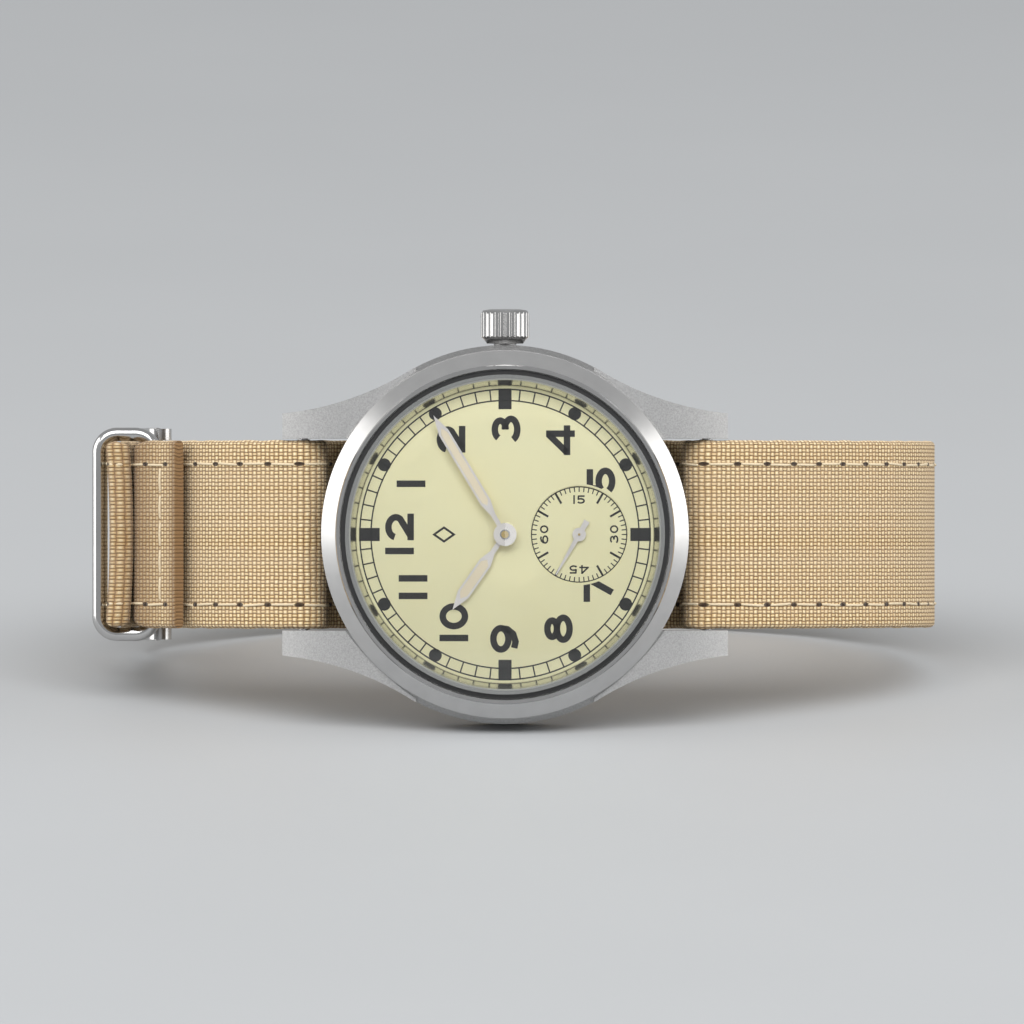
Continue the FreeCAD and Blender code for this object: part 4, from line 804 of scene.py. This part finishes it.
class Ink:
    """Collects flat printed strokes as one closed, very thin mesh."""

    def __init__(self):
        self.verts = []
        self.faces = []

    def sheet(self, outline, z):
        """A filled outline of (x, y) points."""
        base, count = len(self.verts), len(outline)
        self.verts += [(x, y, z - INK_THICK / 2) for x, y in outline]
        self.verts += [(x, y, z + INK_THICK) for x, y in outline]
        self.faces.append(tuple(base + k for k in range(count))[::-1])
        self.faces.append(tuple(base + count + k for k in range(count)))
        for k in range(count):
            j = (k + 1) % count
            self.faces.append((base + k, base + j, base + count + j, base + count + k))

    def band(self, points, width, z, closed=False):
        """A stroke of even width along points, mitred where it bends."""
        points = [Vector(p) for p in points]
        count = len(points)
        left, right = [], []
        for k, point in enumerate(points):
            before = points[k - 1] if k or closed else None
            after = points[(k + 1) % count] if k < count - 1 or closed else None
            ways = [point - before] if before else []
            ways += [after - point] if after else []
            ways = [way.normalized() for way in ways if way]
            middle = sum(ways, Vector((0, 0))).normalized()
            normal = Vector((-middle.y, middle.x))
            reach = width / 2 / max(0.35, abs(normal.dot(Vector((-ways[0].y, ways[0].x)))))
            left.append(point + normal * reach)
            right.append(point - normal * reach)
        base = len(self.verts)
        for a, b in zip(left, right):
            self.verts += [
                (a.x, a.y, z - INK_THICK / 2),
                (b.x, b.y, z - INK_THICK / 2),
                (b.x, b.y, z + INK_THICK),
                (a.x, a.y, z + INK_THICK),
            ]
        for k in range(count if closed else count - 1):
            here, there = base + 4 * k, base + 4 * ((k + 1) % count)
            for a in range(4):
                b = (a + 1) % 4
                self.faces.append((here + a, there + a, there + b, here + b))
        if not closed:
            self.faces.append((base, base + 1, base + 2, base + 3))
            end = base + 4 * (count - 1)
            self.faces.append((end + 3, end + 2, end + 1, end))

    def ring(self, centre, radius, width, z, steps=180):
        self.band(circle(centre, radius, steps), width, z, closed=True)

    def tick(self, centre, degrees, inner, outer, width, z):
        """A radial mark, degrees clockwise from 12 o'clock."""
        way = Vector((math.sin(math.radians(degrees)), math.cos(math.radians(degrees))))
        self.band([Vector(centre) + way * inner, Vector(centre) + way * outer], width, z)

    def dot(self, centre, radius, z, steps=24):
        self.sheet(circle(centre, radius, steps), z)

    def piece(self, name):
        return new_mesh(name, self.verts, self.faces, "watch", black_ink, smooth=False)


def curve(cx, cy, rx, ry, start, stop, steps=22):
    """Points on part of an ellipse, angles in degrees."""
    points = []
    for k in range(steps + 1):
        angle = math.radians(start + (stop - start) * k / steps)
        points.append((cx + rx * math.cos(angle), cy + ry * math.sin(angle)))
    return points


# each digit: its width and its strokes, drawn DIGIT_HIGH high for a stroke of 0.62
DIGIT_HIGH = 2.75
NINE_TAIL = [(2.4, 1.72), (2.3, 1.1), (1.85, 0.55), (1.1, 0.31), (0.5, 0.45)]
NINE = (2.7, [curve(1.38, 1.72, 1.02, 0.72, 0, 360, 40), NINE_TAIL])
DIGITS = {
    "0": (2.5, [curve(1.25, 1.375, 0.94, 1.065, 0, 360, 40)]),
    "1": (0.62, [[(0.31, 0.0), (0.31, DIGIT_HIGH)]]),
    "2": (2.65, [curve(1.3, 1.72, 0.95, 0.72, 170, -35) + [(0.45, 0.31)], [(0.05, 0.31), (2.6, 0.31)]]),
    "3": (2.75, [curve(1.35, 1.93, 0.85, 0.52, 160, -90), curve(1.35, 0.9, 1.02, 0.6, 90, -160)]),
    "4": (2.95, [[(2.15, 0.0), (2.15, DIGIT_HIGH)], [(0.1, 0.75), (2.95, 0.75)], [(2.1, 2.55), (0.35, 0.75)]]),
    "5": (
        2.6,
        [[(0.55, 2.44), (2.4, 2.44)], [(0.6, 2.6), (0.5, 1.3)], curve(1.25, 0.95, 1.0, 0.65, 140, -150)],
    ),
    "6": (2.7, [[(NINE[0] - x, DIGIT_HIGH - y) for x, y in stroke] for stroke in NINE[1]]),
    "7": (2.7, [[(0.1, 2.44), (2.6, 2.44)], [(2.35, 2.44), (1.0, 0.0)]]),
    "8": (2.76, [curve(1.38, 1.98, 0.78, 0.46, 0, 360, 36), curve(1.38, 0.92, 1.05, 0.61, 0, 360, 36)]),
    "9": NINE,
}


def write(ink, text, centre, high, stroke, gap, z, degrees=0.0, squeeze=1.0):
    """Digits centred on a point, their tops turned clockwise from 12 o'clock by degrees."""
    scale = high / DIGIT_HIGH
    wide = sum(DIGITS[c][0] for c in text) * scale * squeeze + gap * (len(text) - 1)
    turn = Matrix.Rotation(math.radians(-degrees), 2)
    x = -wide / 2
    for c in text:
        for line in DIGITS[c][1]:
            points = []
            for a, b in line:
                spot = turn @ Vector((x + a * scale * squeeze, (b - DIGIT_HIGH / 2) * scale))
                points.append((centre[0] + spot.x, centre[1] + spot.y))
            closed = (Vector(points[0]) - Vector(points[-1])).length < 1e-6
            ink.band(points[:-1] if closed else points, stroke, z, closed)
        x += DIGITS[c][0] * scale * squeeze + gap


print_z = INK_THICK / 2
track = Ink()
track.ring((0, 0), TRACK_OUT, TRACK_STROKE, print_z)
track.ring((0, 0), TRACK_IN, TRACK_STROKE, print_z)
for minute in range(60):
    if minute % 15:
        track.tick((0, 0), 6 * minute, TRACK_IN, TRACK_OUT, TRACK_STROKE, print_z)
for hour in range(12):
    if hour % 3 == 0:
        track.tick((0, 0), 30 * hour, BAR_IN, BAR_OUT, BAR_WIDE, print_z)
    else:
        way = math.radians(30 * hour)
        track.dot((DOT_REACH * math.sin(way), DOT_REACH * math.cos(way)), DOT_RADIUS, print_z)
track.piece("dial_minute_track")

numerals = Ink()
for text, centre, gap in (
    ("12", (0.08, 10.1), 0.67),
    ("1", (4.86, 9.0), 0),
    ("2", (9.12, 5.17), 0),
    ("3", (10.08, -0.1), 0),
    ("4", (8.98, -5.31), 0),
    ("8", (-9.02, -5.12), 0),
    ("9", (-10.02, 0.05), 0),
    ("10", (-8.4, 4.9), 0.52),
    ("11", (-5.04, 8.8), 1.06),
):
    write(numerals, text, centre, NUMERAL_HIGH, NUMERAL_STROKE, gap, print_z)
numerals.piece("dial_numerals")

cut_numerals = Ink()
write(cut_numerals, "5", (5.15, -9.19), NUMERAL_HIGH, NUMERAL_STROKE, 0, print_z)
write(cut_numerals, "7", (-5.2, -8.9), NUMERAL_HIGH, NUMERAL_STROKE, 0, print_z)
cut_piece = cut_numerals.piece("dial_numerals_cut")
recess = [(circle(SECONDS_CENTRE, RECESS_CLEAR, 96), lambda a, b, c: (a, b, c), RECESS_DEPTH)]
cut_through(cut_piece, prisms("recess", recess, black_ink), crossing=True)

seconds_print = Ink()
recess_print = RECESS_Z + INK_THICK / 2
seconds_print.ring(SECONDS_CENTRE, SECONDS_RING, SECONDS_STROKE, recess_print, 120)
for second in range(60):
    seconds_print.tick(SECONDS_CENTRE, 6 * second, SECONDS_IN, SECONDS_OUT, SECONDS_STROKE, recess_print)
    if second % 5 == 0 and second % 15:
        long_mark = (SECONDS_LONG_IN, SECONDS_OUT, SECONDS_LONG_STROKE)
        seconds_print.tick(SECONDS_CENTRE, 6 * second, *long_mark, recess_print)
for text, degrees, top in (("60", 0, 0), ("15", 90, 90), ("30", 180, 0), ("45", 270, -90)):
    way = math.radians(degrees)
    spot = Vector(SECONDS_CENTRE) + SECONDS_TEXT_REACH * Vector((math.sin(way), math.cos(way)))
    size = (SECONDS_TEXT_HIGH, SECONDS_TEXT_STROKE, SECONDS_TEXT_GAP)
    write(seconds_print, text, spot, *size, recess_print, top, squeeze=1.05)
seconds_print.piece("dial_seconds_track")

# a small open lozenge where the photographed dial has a printed property mark
MARK_AT = (0.0, 5.84)
MARK_REACH = 0.95
MARK_ASPECT = 0.7
MARK_STROKE = 0.2
mark = Ink()
mark.band(
    [
        (MARK_AT[0] + MARK_REACH * MARK_ASPECT, MARK_AT[1]),
        (MARK_AT[0], MARK_AT[1] + MARK_REACH),
        (MARK_AT[0] - MARK_REACH * MARK_ASPECT, MARK_AT[1]),
        (MARK_AT[0], MARK_AT[1] - MARK_REACH),
    ],
    MARK_STROKE,
    print_z,
    closed=True,
)
mark.piece("dial_mark")

# ---------------------------------------------------------------- floor, light and camera

FLOOR_HALF = 6.0
FLOOR_CORNERS = ((-1, -1), (1, -1), (1, 1), (-1, 1))
WORLD_STRENGTH = 0.46


def floor_paint():
    """Pale matt paint, barely mottled."""
    n = Nodes("floor_paint")
    coords = n.add("ShaderNodeTexCoord").outputs["Object"]
    patch = n.noise(coords, 9.0, 4.0, 0.5)
    fine = n.noise(coords, 700.0, 3.0, 0.6)
    tone = n.mix(patch, (0.38, 0.39, 0.40, 1), (0.42, 0.43, 0.44, 1))
    normal = n.bump(fine, 0.06, 0.0002)
    return n.finish(Base_Color=tone, Roughness=0.62, Normal=normal)


floor_mesh = bpy.data.meshes.new("floor")
floor_mesh.from_pydata([(FLOOR_HALF * x, FLOOR_HALF * y, 0) for x, y in FLOOR_CORNERS], [], [(0, 1, 2, 3)])
floor_mesh.materials.append(floor_paint())
floor = bpy.data.objects.new("floor", floor_mesh)
bpy.context.collection.objects.link(floor)

world = bpy.data.worlds.new("studio")
world.use_nodes = True
sky = world.node_tree.nodes["Background"]
sky.inputs[0].default_value = (0.97, 0.985, 1.0, 1)
sky.inputs[1].default_value = WORLD_STRENGTH
bpy.context.scene.world = world
bpy.context.scene.view_settings.view_transform = "Standard"


def soft_light(name, place, aim, wide, high, power, colour=(1, 1, 1)):
    """A rectangular lamp at a place in the row frame, in metres and watts, turned towards aim."""
    lamp = bpy.data.lights.new(name, "AREA")
    lamp.shape = "RECTANGLE"
    lamp.size = wide
    lamp.size_y = high
    lamp.energy = power
    lamp.color = colour
    piece = bpy.data.objects.new(name, lamp)
    piece.location = place
    piece.rotation_euler = (Vector(aim) - Vector(place)).to_track_quat("-Z", "Y").to_euler()
    bpy.context.collection.objects.link(piece)
    return piece


VIEW_CENTRE = (2.154, -0.67, 0.0)
AIM = to_row(VIEW_CENTRE)
WARM = (1.0, 0.99, 0.97)
soft_light("light_left", (-0.85, -0.12, 0.28), AIM, 0.9, 0.7, 4.6, WARM)
soft_light("light_right", (0.85, -0.12, 0.26), AIM, 0.9, 0.6, 4.0, WARM)
soft_light("light_front", (0.0, -1.05, 1.35), AIM, 2.2, 1.2, 36.0)

FRAME_WIDTH = 98.05 * MM
CAMERA_FAR = 2.0
SENSOR = 36.0
camera_data = bpy.data.cameras.new("camera")
camera_data.sensor_width = SENSOR
camera_data.lens = SENSOR * CAMERA_FAR / FRAME_WIDTH
camera_data.clip_start = 0.01
camera_data.clip_end = 100.0
camera = bpy.data.objects.new("camera", camera_data)
bpy.context.collection.objects.link(camera)
camera.matrix_world = (
    Matrix.Translation(AIM + OUT * CAMERA_FAR) @ Matrix((-NORTH, EAST, OUT)).transposed().to_4x4()
)
bpy.context.scene.camera = camera
